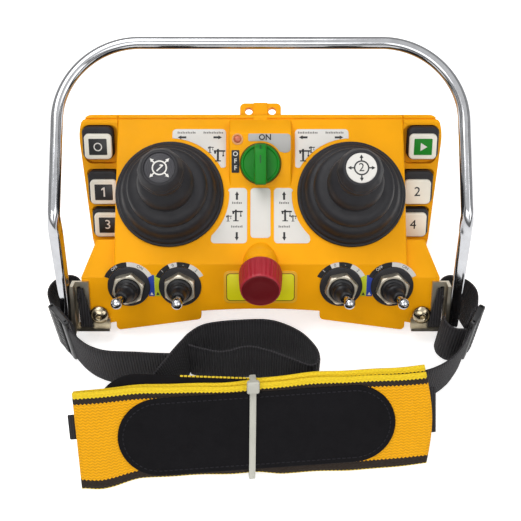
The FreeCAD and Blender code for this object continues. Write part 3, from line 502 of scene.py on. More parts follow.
BOOT_LOWER = [
    (21.5, 0.05), (33.0, 0.05), (33.5, 0.5), (33.6, 1.2), (33.4, 2.0), (32.9, 2.5), (32.3, 2.3),
    (31.9, 2.3), (31.8, 2.9), (31.7, 4.0), (31.3, 4.7), (30.4, 5.1), (29.6, 5.8), (29.0, 7.2), (28.6, 9.2),
    (28.1, 11.0), (27.2, 12.5), (25.8, 13.3), (24.2, 13.5), (23.4, 13.7),
]
BOOT_UPPER = [
    (23.4, 13.7), (23.5, 14.2), (24.1, 14.9), (24.4, 15.8), (24.3, 17.8), (23.9, 20.0), (23.0, 21.6),
    (21.2, 22.6), (18.6, 23.2), (16.9, 23.3), (16.4, 23.5), (16.2, 24.0), (16.5, 24.7), (16.8, 25.6),
    (16.8, 28.5), (16.5, 31.5), (16.0, 33.8), (15.1, 35.4), (13.6, 36.8), (11.6, 38.4), (10.4, 39.6),
    (7.5, 40.5), (4.3, 41.0),
]
KNOB = [
    (4.2, 41.5), (11.2, 41.5), (11.7, 42.0), (12.0, 44.0), (12.5, 49.0), (12.9, 52.0), (13.3, 52.5),
    (13.35, 53.2), (13.0, 53.7), (12.7, 54.0), (12.8, 54.5), (13.1, 55.0), (13.15, 55.7), (12.9, 56.5),
    (12.2, 57.6), (11.2, 59.3), (10.5, 60.5), (10.1, 60.9), (9.4, 61.0), (8.9, 60.9), (8.8, 60.7),
    (8.8, 60.1),
]
KNOB_FACETS, FACET_HEIGHT, FACET_REACH, FACET_DEPTH = 10, 56.0, 3.5, 0.8
INLAY_HIGH, INLAY_EDGE, GROOVE_PITCH, GROOVE_DEPTH = 60.7, 8.5, 0.5, 0.12
INLAY_RIM = [(8.7, 60.0), (8.7, 60.55), (INLAY_EDGE, INLAY_HIGH)]
GROOVES = [(INLAY_EDGE - i * GROOVE_PITCH, INLAY_HIGH - GROOVE_DEPTH * (i % 2)) for i in range(1, 17)]


def faceted(turn, height):
    """The knob's shoulder has soft flats all round."""
    part = 2 * math.pi / KNOB_FACETS
    flat = math.cos(part / 2) / math.cos(turn % part - part / 2)
    share = max(0.0, 1.0 - abs(height - FACET_HEIGHT) / FACET_REACH) * FACET_DEPTH
    return 1.0 + (flat - 1.0) * share


def symbol(digit, turn, low, high):
    """A number in a ring, with four arrows round it."""
    parts = [flat_ring(4.3, 3.5, low, high)]
    for quarter in range(4):
        parts.append(shifted(shifted(arrow(3.5, 0.75, 2.0, low, high), 4.2), turn=90 * quarter))
    parts.append(numeral(digit, 6.8, low, high, 0.0, 0.1))
    return shifted(joined(parts), turn=turn)


def boot_half(name, profile, side):
    """Half of a bellows boot, baked in place on no body."""
    place = DECK[side]
    half = make(name, lathe(profile, 96), RUBBER, place, None, (side + "_boot",), 70)
    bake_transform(half)


for side, digit, turn, disc, grooves, ink, slot in (
        ("left", "1", -45.0, KNOB_TOP, GROOVES, WHITE, "black_plastic"),
        ("right", "2", 0.0, WHITE, [], INK, "label_white")):
    place, gimbal, stick = DECK[side], side + "_gimbal", side + "_stick"
    boot_half(side + "_boot_skirt", BOOT_LOWER, side)
    boot_half(side + "_boot_bellows", BOOT_UPPER, side)
    grip = lathe(KNOB, 80, faceted)
    make(side + "_grip", grip, RUBBER, place, stick, (side + "_knob",), 50)
    inlay = lathe(INLAY_RIM + grooves + [(0.0, INLAY_HIGH)], 72)
    make(side + "_inlay", inlay, disc, place, stick, smooth=25)
    make(side + "_knob_print", symbol(digit, turn, INLAY_HIGH - 0.08, INLAY_HIGH + 0.1), ink, place, stick)


# Side keys

KEY_DROPS, KEY_SHOULDERS, KEY_X = (14.0, 43.5, 65.5), (4.0, 5.2, 2.6), (102.4, 100.4, 98.9)
KEY_HALF, KEY_BELOW, KEY_CORNER = 9.8, 8.9, 4.2
KEY_LOW, KEY_HIGH, CAP_HIGH = -2.0, 4.4, 6.8
CAP_SHIFT, CAP_HALF, CAP_REACH, CAP_CORNER = 0.4, 8.6, 8.0, 2.8
WINDOW_HALF, WINDOW_REACH = 5.7, 5.2
STEM = [(0.0, -6.6), (3.4, -6.6), (3.4, KEY_LOW), (0.0, KEY_LOW)]
PRINT_LOW, PRINT_HIGH = CAP_HIGH + 0.02, CAP_HIGH + 0.16
KEY_SIGNS = {"left": flat_ring(2.7, 2.0, PRINT_LOW, PRINT_HIGH),
             "right": slab([(-1.6, -2.6), (2.6, 0), (-1.6, 2.6)], PRINT_LOW, PRINT_HIGH)}


def block(x, y, half, below, above, corner, steps=8):
    """A rounded rectangle about a point on the wing."""
    return rectangle(x - half, x + half, y - below, y + above, corner, steps)


for side, sign in SIDES:
    for i, (drop, shoulder, x) in enumerate(zip(KEY_DROPS, KEY_SHOULDERS, KEY_X)):
        name = "%s_key_%d" % (side, i + 1)
        x, y = x * sign, -drop
        outline = block(x, y, KEY_HALF, KEY_BELOW, CAP_REACH + shoulder, KEY_CORNER)
        pad = joined([slab(outline, KEY_LOW, KEY_HIGH, 1.6, 5), shifted(lathe(STEM, 32), x, y)])
        make(name + "_pad", pad, RUBBER, WING, name, (name,), 50)
        x -= CAP_SHIFT * sign
        cap = slab(block(x, y, CAP_HALF, CAP_REACH, CAP_REACH, CAP_CORNER), KEY_HIGH, CAP_HIGH, 0.9, 4)
        make(name + "_top", cap, CREAM, WING, name, (name + "_cap",), 50)
        framed = side == "left" or i == 0
        if framed:
            outline = block(x, y, WINDOW_HALF, WINDOW_REACH, WINDOW_REACH, 0.5, 3)
            window = slab(outline, CAP_HIGH - 0.4, CAP_HIGH + 0.1, 0.08, 2)
            make(name + "_insert", window, BLACK if side == "left" else GREEN, WING, name)
        if i == 0:
            mark = shifted(KEY_SIGNS[side], x, y)
        else:
            mark = numeral(str(2 * i - (side == "left")), 8.6, PRINT_LOW, PRINT_HIGH, x, y + 0.2)
        make(name + "_mark", mark, WHITE if framed else INK, WING, name)


# Toggle switches on the front face

NUT_FLATS, NUT_TURNS = 9.0, (16.0, 30.0, 12.0, 14.0)
LEVER_PIVOT, TOGGLE_FOOT, TOGGLE_NECK = 4.6, 7.4, 17.0
WASHER = [(6.3, 0.03), (12.9, 0.03), (13.2, 0.35), (13.1, 0.8), (12.5, 1.15), (11.2, 1.3), (6.3, 1.25)]
NUT = [
    (7.2, 1.3), (9.9, 1.3), (10.4, 1.8), (10.4, 5.1), (10.0, 5.6), (9.5, 6.0), (9.0, 6.3),
    (8.0, 6.35), (7.7, 6.1), (7.6, 5.4),
]
TOGGLE_BOOT = [
    (7.6, 5.5), (7.6, 6.8), (7.4, 7.5), (6.9, 7.8), (6.4, 7.9), (6.2, 8.2), (6.5, 8.8), (6.4, 9.5),
    (5.9, 9.9), (5.8, 10.1), (5.6, 10.5), (5.9, 11.1), (5.8, 11.8), (5.2, 12.3), (4.8, 13.0), (4.5, 14.4),
    (4.1, 16.2), (3.9, 17.2), (3.5, 17.7), (2.6, 17.9),
]
BALL_HEIGHT, BALL_RADIUS = 25.1, 3.5
LEVER = [(0.0, 13.0), (2.3, 13.0), (2.4, 18.0), (2.2, 21.6), (2.1, 22.7)]
for step in range(11):
    climb = math.radians(-48 + 138 * step / 10)
    LEVER.append((BALL_RADIUS * math.cos(climb), BALL_HEIGHT + BALL_RADIUS * math.sin(climb)))


def hexagonal(turn, height):
    """The nut's flats, cut off by its round chamfer near both ends."""
    corner = math.radians(60)
    flat = NUT_FLATS / math.cos(turn % corner - corner / 2)
    limit = dict((z, r) for r, z in NUT)[height]
    return min(1.0, flat / limit)


def arc(radius, start, end, x=0.0, y=0.0, steps=16):
    turns = [math.radians(start + (end - start) * k / steps) for k in range(steps + 1)]
    return [(x + radius * math.cos(t), y + radius * math.sin(t)) for t in turns]


def sector(inner, outer, start, end, low, high):
    return slab(arc(outer, start, end) + arc(inner, end, start), low, high)


def leaned(shape, lean):
    """A rubber boot bent so that its neck follows the lever."""
    points, faces = shape
    bent = []
    for x, y, z in points:
        share = eased((z - TOGGLE_FOOT) / (TOGGLE_NECK - TOGGLE_FOOT))
        turn = Matrix.Rotation(math.radians(lean) * share, 3, "Y")
        point = turn @ Vector((x, y, z - LEVER_PIVOT))
        bent.append((point.x, point.y, point.z + LEVER_PIVOT))
    return bent, faces


# Legends round a nut: start and end angle, ground, ink and text, on switches with two and three states
LEGENDS = {
    False: [(27, 93, WHITE, INK, "ON"), (93, 156, INK, WHITE, "OFF")],
    True: [(27, 66, WHITE, INK, "2"), (66, 96, INK, WHITE, "-"), (96, 116, WHITE, INK, "0"),
           (116, 156, INK, WHITE, "1")],
}
LEGEND_INNER, LEGEND_OUTER, LEGEND_MIDDLE = 13.25, 16.2, 14.75
washers, hexagons = [], []
for i, (x, lean, turn) in enumerate(zip(TOGGLE_X, TOGGLE_LEAN, NUT_TURNS)):
    name = "toggle_%d" % (i + 1)
    lever = "toggle_lever_%d" % (i + 1)
    place = FRONT @ Matrix.Translation((x, -TOGGLE_DROP, 0))
    washers.append(shifted(lathe(WASHER, 72), x, -TOGGLE_DROP))
    hexagons.append(shifted(lathe(NUT, 96, hexagonal), x, -TOGGLE_DROP, 0.0, turn))
    shape = leaned(lathe(TOGGLE_BOOT, 48), lean)
    boot = make(name + "_boot", shape, TOGGLE_RUBBER, place, None, (lever,), 60)
    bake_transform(boot)
    tilt = Matrix.Translation((0, 0, LEVER_PIVOT)) @ Matrix.Rotation(math.radians(lean), 4, "Y")
    tilt = tilt @ Matrix.Translation((0, 0, -LEVER_PIVOT))
    make(name + "_tip", moved(lathe(LEVER, 40), tilt), CHROME, place, lever, (lever,), 50)
    for k, (start, end, ground, ink, text) in enumerate(LEGENDS[i in (1, 2)]):
        middle = (start + end) / 2
        x, y = arc(LEGEND_MIDDLE, middle, middle, steps=1)[0]
        plate = sector(LEGEND_INNER, LEGEND_OUTER, start, end, 0.02, 0.3)
        make("%s_legend_%d" % (name, k), plate, ground, place)
        words = lettering(text, 2.7, 0.28, 0.36, x, y, middle - 90)
        make("%s_words_%d" % (name, k), words, ink, place)
make("toggle_disc_washers", joined(washers), RUBBER, FRONT, "root", ("toggle_washers",), 40)
make("toggle_hex_nuts", joined(hexagons), NUTS, FRONT, "root", ("toggle_nuts",), 25)

TAG_TOP, TAG_BOTTOM, TAG_HALF = -7.2, -21.4, 1.85
TAG_FOOT, TAG_TIP = TAG_BOTTOM + 0.8, TAG_BOTTOM + 2.8
for side, sign in SIDES:
    middle = sign * (TOGGLE_X[3] + TOGGLE_X[2]) / 2
    for kind, colour, ink, shift in (("blue", BLUE, WHITE, TAG_HALF), ("lime", LIME, INK, -TAG_HALF)):
        x = middle + sign * shift
        outline = rectangle(x - TAG_HALF, x + TAG_HALF, TAG_BOTTOM, TAG_TOP, 0.3, 2)
        make("%s_tag_%s" % (side, kind), slab(outline, 0.0, 0.28, 0.05, 2), colour, FRONT)
        mark = slab([(x - 1.0, TAG_FOOT), (x + 1.0, TAG_FOOT), (x, TAG_TIP)], 0.27, 0.36)
        make("%s_tag_%s_mark" % (side, kind), mark, ink, FRONT)


# Emergency stop

STOP_FLUTES, FLUTE_DEPTH = 30, 0.026
FLUTE_START, FLUTE_END = 9.2, 25.2
STOP_INSIDE = [(0.0, 14.4), (10.6, 14.3), (10.7, 14.0), (10.7, 8.7)]
STOP_SIDE = [
    (10.7, 8.7), (12.4, 8.6), (13.0, 9.0), (13.2, 9.8), (13.15, 13.0), (12.9, 17.5), (12.5, 22.0),
    (12.3, 23.9), (12.0, 24.8), (11.6, 25.3), (11.2, 25.4), (11.0, 25.1), (0.0, 25.0),
]
STOP_FACE = [
    (11.05, 24.9), (11.0, 25.3), (10.7, 25.5), (10.2, 25.45), (9.6, 25.2), (6.0, 25.15), (0.0, 25.15),
]


def fluted(turn, height):
    """Fine grip flutes on the knob's side, which run out at both ends."""
    start = min(max((height - FLUTE_START) / 1.5, 0.0), 1.0)
    end = min(max((FLUTE_END - height) / 1.2, 0.0), 1.0)
    return 1.0 - FLUTE_DEPTH * start * end * (0.5 + 0.5 * math.cos(turn * STOP_FLUTES)) ** 0.7


def finer(profile, most):
    """The profile with points added where it has long steps."""
    points = [profile[0]]
    for (r0, z0), (r1, z1) in zip(profile, profile[1:]):
        count = max(1, math.ceil(abs(z1 - z0) / most))
        points += [(r0 + (r1 - r0) * k / count, z0 + (z1 - z0) * k / count) for k in range(1, count + 1)]
    return points


mushroom = lathe(STOP_INSIDE + finer(STOP_SIDE, 1.5)[1:], 300, fluted)
make("stop_mushroom", mushroom, RED, STOP, "estop_knob", ("estop_knob",), 45)
# The front face is a separate disc in darker red: painted shade on the face turned away from the light.
make("stop_face", lathe(STOP_FACE, 96), STOP_FACE_SHADE_RED, STOP, "estop_knob", smooth=50)

PLATE_HALF, PLATE_TOP, PLATE_BOTTOM, PLATE_BAY = 22.7, -4.4, -26.2, 12.6


def stop_plate(inset_by, corner, low, high):
    """A plate under the knob with a round bay cut out for the boss."""
    half, top, bottom = PLATE_HALF - inset_by, PLATE_TOP - inset_by, PLATE_BOTTOM + inset_by
    bay = PLATE_BAY + inset_by * 0.3
    reach = math.degrees(math.asin(-top / bay))
    steps = 6
    outline = rectangle(-half, half, bottom, top, corner, steps)
    right_end = 3 * (steps + 1)
    outline = outline[:right_end] + arc(bay, -reach, -180 + reach, 0, 0, 20) + outline[right_end:]
    return slab(outline, low, high, 0.08, 2)


border = stop_plate(0.0, 3.4, 0.02, 0.35)
make("stop_plate_border", border, AMBER_PLATE, FRONT, "root", ("estop_plate",))
make("stop_plate_line", stop_plate(1.5, 2.6, 0.3, 0.4), OLIVE, FRONT)
make("stop_plate_field", stop_plate(2.0, 2.2, 0.35, 0.46), PLATE, FRONT)


# Rotary switch, its plates and the lamp on the console

ROTARY_DISC = [
    (3.5, 0.25), (11.9, 0.25), (12.2, 0.5), (12.2, 2.9), (12.0, 3.4), (11.6, 3.7), (11.2, 3.75),
    (10.8, 3.6), (10.5, 3.3), (10.2, 3.1), (5.0, 3.0), (0.0, 3.0),
]
ROTARY_COLLAR = [(12.3, 0.05), (13.0, 0.05), (12.95, 0.5), (12.6, 0.7), (12.3, 0.6)]
BAR_HALF, BAR_FOOT, BAR_TOP = 3.2, 2.9, 12.6
# Along the bar: place, swell of the sides, drop of the top
BAR_STATIONS = ((-12.6, 0.0, 1.6), (-11.7, 0.35, 0.4), (-9.5, 0.5, 0.0), (5.5, 0.5, 0.0), (9.2, 0.45, 1.2),
                (11.2, 0.3, 3.6), (12.3, 0.0, 6.5))
# Across half of the bar's top: inset from the side, drop from the top
BAR_SHOULDER = ((0.0, 1.2), (0.35, 0.35), (1.2, 0.0))


def rotary_bar():
    """The finger bar, with a sloped pointer end."""
    points, faces = [], []
    for y, swell, drop in BAR_STATIONS:
        half, top = BAR_HALF + swell, BAR_TOP - drop
        left = [(-half, BAR_FOOT)] + [(-half + a, top - b) for a, b in BAR_SHOULDER]
        points += [(x, y, z) for x, z in left + [(-x, z) for x, z in reversed(left)]]
    count = 2 * len(BAR_SHOULDER) + 2
    for k in range(len(BAR_STATIONS) - 1):
        for i in range(count - 1):
            a, b = k * count + i, (k + 1) * count + i
            faces.append([a, a + 1, b + 1, b])
    return points, faces + [list(reversed(end)) for end in ends(count, len(points))]


handle = joined([lathe(ROTARY_DISC, 96), rotary_bar()])
make("rotary_handle", handle, GREEN, CONSOLE, "rotary_knob", ("rotary_knob",), 32)
# The groove along the bar's top is a flat strip in a darker green: painted shade in place of a cut groove.
groove = slab(rectangle(-0.45, 0.45, 0.6, 5.6, 0.4, 4), BAR_TOP - 0.1, BAR_TOP + 0.04)
make("rotary_groove", groove, DARK_GREEN, CONSOLE, "rotary_knob")
# The pointer line is a flat strip in the same darker green: painted shade of a pointer groove.
pointer = moved(slab(rectangle(-0.55, 0.55, -1.7, 1.7, 0.3, 4), 0.0, 0.12),
                Matrix.Translation((0, 10.4, BAR_TOP - 2.3)) @ Matrix.Rotation(math.radians(-50), 4, "X"))
make("rotary_pointer", pointer, DARK_GREEN, CONSOLE, "rotary_knob")
make("rotary_collar", lathe(ROTARY_COLLAR, 96), OLIVE, CONSOLE)

# ON and OFF plates
ON_TOP, ON_BOTTOM, ON_LEFT, ON_RIGHT = 18.5, 13.8, -7.6, 18.6
on_bay = arc(13.9, 86, 33, 0, 0, 14)
on_outline = [(ON_LEFT, ON_TOP - 0.6), (ON_LEFT, ON_BOTTOM + 0.6), (ON_LEFT + 0.6, ON_BOTTOM)] + on_bay
on_end = rounded([(14.2, 6.6), (ON_RIGHT, 7.4), (ON_RIGHT, ON_TOP), (0.0, ON_TOP)], 2.4, 6)[1:]
on_outline += [(x, y) for x, y in on_end if x > ON_RIGHT / 2]
on_outline += [(ON_LEFT + 0.6, ON_TOP)]
make("on_plate", slab(on_outline, 0.02, 0.32, 0.08, 2), GREY, CONSOLE)
make("on_words", lettering("ON", 4.9, 0.3, 0.38, 2.8, 16.1, weight=0.14), INK, CONSOLE)
make("off_plate", slab(rectangle(-17.9, -13.1, -5.6, 8.4, 0.6, 4), 0.02, 0.32, 0.08, 2), INK, CONSOLE)
letters = [lettering(letter, 4.0, 0.3, 0.38, -15.5, 5.9 - 4.3 * k, weight=0.06)
           for k, letter in enumerate("OFF")]
make("off_words", joined(letters), WHITE, CONSOLE)

LAMP = [(0.0, -1.0), (2.3, -1.0), (2.3, 0.3), (2.1, 0.9), (1.6, 1.35), (0.9, 1.6), (0.0, 1.7)]
LAMP_RIM = [(2.35, 0.02), (3.5, 0.02), (3.5, 0.45), (3.2, 0.7), (2.7, 0.6), (2.4, 0.3)]
lamp_place = on_console(LAMP_Y) @ Matrix.Translation((LAMP_X, 0, 0))
make("lamp_dome", lathe(LAMP, 40), AMBER, lamp_place, "root", ("status_led",), 60)
make("lamp_rim", lathe(LAMP_RIM, 40), TAN, lamp_place)


# Deck labels with generic arrows and pictograms

LABEL_TOP = 0.32
LABEL_PRINT = LABEL_TOP - 0.02, LABEL_TOP + 0.06
# The bars of a mast: left, right, bottom, top
MAST = ((-0.14, 0.14, -1.0, 0.75), (-0.55, 1.0, 0.36, 0.58), (-0.5, -0.25, 0.1, 0.4),
        (0.66, 0.78, -0.1, 0.4), (0.6, 0.84, -0.3, -0.1), (-0.4, 0.4, -1.0, -0.85))


def upper_label():
    """The outline beside the back of the right boot."""
    bay = arc(36.0, 151.8, 91.8, STICK_X, 0, 18)
    corners = rounded([(21.6, 17.0), (24.5, 17.0), (55.2, 36.0), (55.2, 42.0), (21.6, 42.0)], 2.4, 6)
    tail = [p for p in corners if p[1] > 37.0]
    foot = [p for p in corners if p[0] < 24.6 and p[1] < 20.0]
    return foot + bay + tail


def lower_label():
    """The outline between the right boot and the middle label."""
    bay = arc(37.0, 225.0, 178.0, STICK_X, 0, 18)
    corners = rounded([(8.3, -31.0), (30.6, -31.0), (30.6, -24.0), (19.5, 4.0), (8.3, 4.0)], 2.4, 6)
    foot = [p for p in corners if p[1] < -27.0]
    tail = [p for p in corners if p[1] > 1.4]
    return foot + bay + tail


def mast(x, y, size):
    """A small tower crane: mast, jib, counter jib and hook."""
    bars = [slab([(a, c), (b, c), (b, d), (a, d)], *LABEL_PRINT) for a, b, c, d in MAST]
    points, faces = joined(bars)
    return [(x + px * size, y + py * size, z) for px, py, z in points], faces


def printed_arrow(x, y, turn):
    return shifted(arrow(5.4, 1.3, 2.3, *LABEL_PRINT), x, y, 0.0, turn)


def caption(x, y, count):
    """A row of plain grey ticks where a caption would stand."""
    ticks = []
    for k in range(count):
        at, top = x + 1.05 * (k - (count - 1) / 2), y + (0.8 if k % 3 == 0 else 0.55)
        outline = rectangle(at - 0.34, at + 0.34, y - 0.55, top, 0.1, 2)
        ticks.append(slab(outline, LABEL_TOP - 0.02, LABEL_TOP + 0.05))
    return joined(ticks)


plates = []
for outline in (upper_label(), lower_label()):
    plate = slab(outline, 0.02, LABEL_TOP, 0.1, 2)
    plates += [plate, flipped(plate)]
plates.append(slab(rectangle(-6.2, 6.2, -27.6, 4.0, 2.2, 6), 0.02, LABEL_TOP, 0.1, 2))
make("deck_labels", joined(plates), WHITE, PANEL, "root", ("panel_labels",), 30)
prints, captions = [], []
for sign in (-1, 1):
    prints += [printed_arrow(sign * 29.5, 36.6, 90.0 + 90.0 * sign),
               printed_arrow(sign * 46.5, 36.6, 90.0 - 90.0 * sign),
               mast(sign * 26.6, 25.6, 4.6), mast(sign * 31.6, 29.0, 2.4),
               printed_arrow(sign * 14.6, -3.6, 90.0), printed_arrow(sign * 14.6, -24.0, 270.0),
               mast(sign * 15.2, -13.0, 4.2), mast(sign * 20.0, -15.0, 2.3)]
    captions += [caption(sign * 29.6, 39.6, 12), caption(sign * 46.4, 39.6, 11),
                 caption(sign * 14.6, -5.6, 6), caption(sign * 14.6, -20.6, 7)]
make("label_print", joined(prints), INK, PANEL)
make("label_captions", joined(captions), GREY_INK, PANEL)


# Guard handle: one bent tube with pinched bends and flattened lower ends

HANDLE_X, HANDLE_RADIUS = 120.0, 3.75
HANDLE_FOOT, HANDLE_BEND = (-57.0, 8.5), (-28.0, 84.0)
HANDLE_TOP_Y, HANDLE_TILT = 66.0, 27.0
BEND_RADIUS, CORNER_RADIUS = 14.0, 48.0
LEG_TWISTS = math.radians(24.0), math.radians(-43.0)
HANDLE_TOP_Z = HANDLE_BEND[1] + (HANDLE_TOP_Y - HANDLE_BEND[0]) * math.tan(math.radians(HANDLE_TILT))


def divided(line, step):
    """The line with points added where they are more than a step apart."""
    full = [line[0]]
    for start, end in zip(line, line[1:]):
        count = max(1, math.ceil((end - start).length / step))
        full += [start.lerp(end, k / count) for k in range(1, count + 1)]
    return full


def bent_line(corners, radii, step):
    """Points along a line whose inner corners are rounded."""
    corners = [Vector(c) for c in corners]
    line = [corners[0]]
    for before, here, after, radius in zip(corners, corners[1:], corners[2:], radii):
        into, out = (before - here).normalized(), (after - here).normalized()
        half = into.angle(out) / 2
        reach = radius / math.tan(half)
        centre = here + (into + out).normalized() * (radius / math.sin(half))
        axis = into.cross(out).normalized()
        first = here + into * reach - centre
        sweep = math.pi - 2 * half
        count = max(4, math.ceil(radius * sweep / step))
        for k in range(count + 1):
            line.append(centre + Matrix.Rotation(-sweep * k / count, 3, axis) @ first)
    line.append(corners[-1])
    return divided(line, step)


def squared(value, power):
    """One coordinate of a rounded square: power 2 gives a circle, more gives flatter sides."""
    return math.copysign(abs(value) ** (2 / power), value)


def swept(line, across, section, count=56):
    """A tube along a line. section(reach) gives half width, half depth, squareness and twist there."""
    points = []
    reach = 0.0
    for k, here in enumerate(line):
        if k:
            reach += (here - line[k - 1]).length
        along = (line[min(k + 1, len(line) - 1)] - line[max(k - 1, 0)]).normalized()
        side = (across(here) - along * across(here).dot(along)).normalized()
        through = along.cross(side)
        wide, deep, power, twist = section(reach)
        for i in range(count):
            turn = 2 * math.pi * i / count
            a, b = squared(math.cos(turn), power) * wide, squared(math.sin(turn), power) * deep
            a, b = a * math.cos(twist) - b * math.sin(twist), a * math.sin(twist) + b * math.cos(twist)
            points.append(tuple(here + side * a + through * b))
    return points, walls(count, len(line)) + ends(count, len(points))


left_leg = [(-HANDLE_X, *HANDLE_FOOT), (-HANDLE_X, *HANDLE_BEND), (-HANDLE_X, HANDLE_TOP_Y, HANDLE_TOP_Z)]
handle_corners = left_leg + [(-x, y, z) for x, y, z in reversed(left_leg)]
handle_line = bent_line(handle_corners, (BEND_RADIUS, CORNER_RADIUS, CORNER_RADIUS, BEND_RADIUS), 1.5)
handle_length = sum((b - a).length for a, b in zip(handle_line, handle_line[1:]))
leg_length = (Vector(left_leg[1]) - Vector(left_leg[0])).length


def handle_side(here):
    return Vector((here.x, 90.0, -40.0))


def tube_section(reach):
    """Round tube, pinched in the two bends and pressed flat towards its ends."""
    low = min(reach, handle_length - reach)
    tip = min(1.0, math.sqrt(max(0.0, 1 - (1 - min(low / 3.0, 1.0)) ** 2)) + 0.04)
    flat = min(max((leg_length - low) / 10.0, 0.0), 1.0)
    taper = 1.0 - min(low / leg_length, 1.0)
    pinch = math.exp(-((low - leg_length + 2.0) / 6.0) ** 2)
    wide = HANDLE_RADIUS * (1.0 - 0.3 * taper - 0.1 * pinch)
    deep = HANDLE_RADIUS * (1.0 - 0.1 * taper + 0.04 * pinch)
    twist = LEG_TWISTS[reach > handle_length / 2] * flat
    return wide * tip, deep * tip, 2.0 + 2.4 * flat, twist


tube = swept(handle_line, handle_side, tube_section)
make("handle_tube", tube, CHROME, WORLD, "root", ("guard_handle",), 60)

BRACKET_SCREW_X, BRACKET_SCREW_DROP = 100.5, 33.5
SCREW_DOME = [
    (0.0, 2.6), (1.6, 2.6), (1.7, 2.7), (1.9, 5.0), (2.2, 5.15), (3.2, 4.85), (4.4, 4.2), (5.3, 3.4),
    (5.8, 2.7), (6.0, 2.1), (0.0, 2.05),
]
SCREW_SHANK = [(0.0, -9.9), (2.4, -9.9), (2.4, 2.1), (0.0, 2.1)]
screws = [shifted(lathe(profile, count), sign * BRACKET_SCREW_X, -BRACKET_SCREW_DROP)
          for profile, count in ((SCREW_DOME, 60), (SCREW_SHANK, 24)) for sign in (-1, 1)]
# The dome screws' tan tint is a painted reflection of the yellow housing.
make("bracket_dome_screws", joined(screws), SCREW_STEEL_WITH_PAINTED_REFLECTION, FRONT, "root", ("bracket_screws",), 35)


# Webbing: ribbons that stand on edge, with a woven face

WEB_WIDTH, WEB_HALF = 38.0, 0.9
SLOT_X = 112.1
STRAP_LEFT = [
    (-113.3, -75.25), (-107, -82), (-99, -87.5), (-88, -91), (-70, -91.5), (-60, -91.8), (-51.2, -92.2),
]
STRAP_RIGHT = [
    (124.3, -75.55), (120, -84), (113.5, -92.5), (104, -99.5), (90, -104), (60, -106.7), (20, -109.9),
    (-20, -113.6), (-60, -116.6),
]
RIGHT_TAIL = [(121.9, -75.4), (115, -74.8), (110.5, -70.5), (109.5, -66)]
STRAP_LOOP = [
    (-56, -107.5), (-53, -101), (-49, -92), (-45, -84), (-41, -77.5), (-32, -72), (-14, -69), (6, -68.5),
    (22, -75.5), (31.5, -86), (34, -94.5), (29.5, -99.5), (18, -95.5), (6, -90.5), (-7, -87), (-22, -90),
    (-33, -88), (-42.6, -85),
]
TAB_LEFT = [(-SLOT_X, -49), (-SLOT_X, -38), (-114.5, -33.5), (-121, -32.5), (-127.5, -40), (-125.9, -60.3)]
TAB_RIGHT = [(SLOT_X, -49), (SLOT_X, -38), (114.5, -33.5), (121, -32.5), (129, -40), (132.4, -60.55)]
TAB_LOW, TAB_HIGH, TAB_FLARE, TAB_LEAN = 11.5, 30.0, 10.5, 6.5
FLOOR_GAP, LOOP_LEAN = 0.1, 12.0


def smooth_line(points, step=1.2):
    """A curve through the points, with even steps."""
    points = [Vector(p) for p in points]
    knots = [2 * points[0] - points[1]] + points + [2 * points[-1] - points[-2]]
    line = []
    for a, b, c, d in zip(knots, knots[1:], knots[2:], knots[3:]):
        count = max(2, math.ceil((c - b).length / step))
        for k in range(count):
            t = k / count
            line.append(0.5 * (2 * b + (c - a) * t + (2 * a - 5 * b + 4 * c - d) * t ** 2
                               + (3 * b - a - 3 * c + d) * t ** 3))
    line.append(points[-1])
    return line


def ribbon(line, low, high, half, lean=None, rows=12):
    """A band on edge along a plan line. low, high and lean depend on the share of the length."""
    reach = [0.0]
    for a, b in zip(line, line[1:]):
        reach.append(reach[-1] + (b - a).length)
    total, last = reach[-1], len(line) - 1
    points, uvs = [], []
    for side in (-1, 1):
        for k, here in enumerate(line):
            along = (line[min(k + 1, last)] - line[max(k - 1, 0)]).normalized()
            share = reach[k] / total
            bottom, top = low(share), high(share)
            tilt = lean(share) if lean else 0.0
            for r in range(rows + 1):
                thick = half * (0.55 if r in (0, rows) else 1.0)
                shift = side * thick + tilt * (r / rows - 0.5)
                z = bottom + (top - bottom) * r / rows
                points.append((here.x - along.y * shift, here.y + along.x * shift, z))
                uvs.append((reach[k], r / rows * WEB_WIDTH))
    return points, two_faced(last, rows), uvs, total


def woven(name, shape, material, place, stands_for, smooth=40.0):
    """A sheet of webbing, with the map of its weave in millimetres."""
    points, faces, uvs = shape
    made = make(name, (points, faces), material, place, "root", stands_for, smooth)
    layer = made.data.uv_layers.new(name="weave")
    for loop in made.data.loops:
        layer.data[loop.index].uv = uvs[loop.vertex_index]


def strap(name, plan, low, high, node, lean=None):
    """A run of black webbing. low, high and lean depend on the share of its length."""
    points, faces, uvs, total = ribbon(smooth_line(plan), low, high, WEB_HALF, lean)
    width = sum(high(k / 10) - low(k / 10) for k in range(11)) / 11
    woven(name, (points, faces, uvs), WEB, WORLD, (node,))


def level(height):
    return lambda share: height


def wavy(height, size, turns):
    return lambda share: height + size * math.sin(turns * share)


def tab_low(share):
    """The webbing spreads from the narrow slot to the buckle."""
    return TAB_LOW - TAB_FLARE * eased((share - 0.4) / 0.35)


def tab_lean(sign):
    return lambda share: sign * TAB_LEAN * math.sin(math.pi * eased((share - 0.4) / 0.6))


def loop_lean(share):
    return LOOP_LEAN * max(0.0, 1.0 - share / 0.16)


foot, tab_high = level(FLOOR_GAP), level(TAB_HIGH)
strap("left_strap_run", STRAP_LEFT, foot, wavy(WEB_WIDTH, -0.6, 9), "left_strap")
strap("right_strap_run", STRAP_RIGHT, foot, wavy(WEB_WIDTH, -0.7, 7), "right_strap")
strap("right_strap_tail", RIGHT_TAIL, foot, level(WEB_WIDTH - 0.6), "right_strap")
strap("loose_loop", STRAP_LOOP, foot, wavy(WEB_WIDTH - 1.0, 1.0, 11), "strap_loop",
      loop_lean)
for side, sign, tab in (("left", -1, TAB_LEFT), ("right", 1, TAB_RIGHT)):
    strap(side + "_strap_tab", tab, tab_low, tab_high, side + "_strap",
          tab_lean(sign))

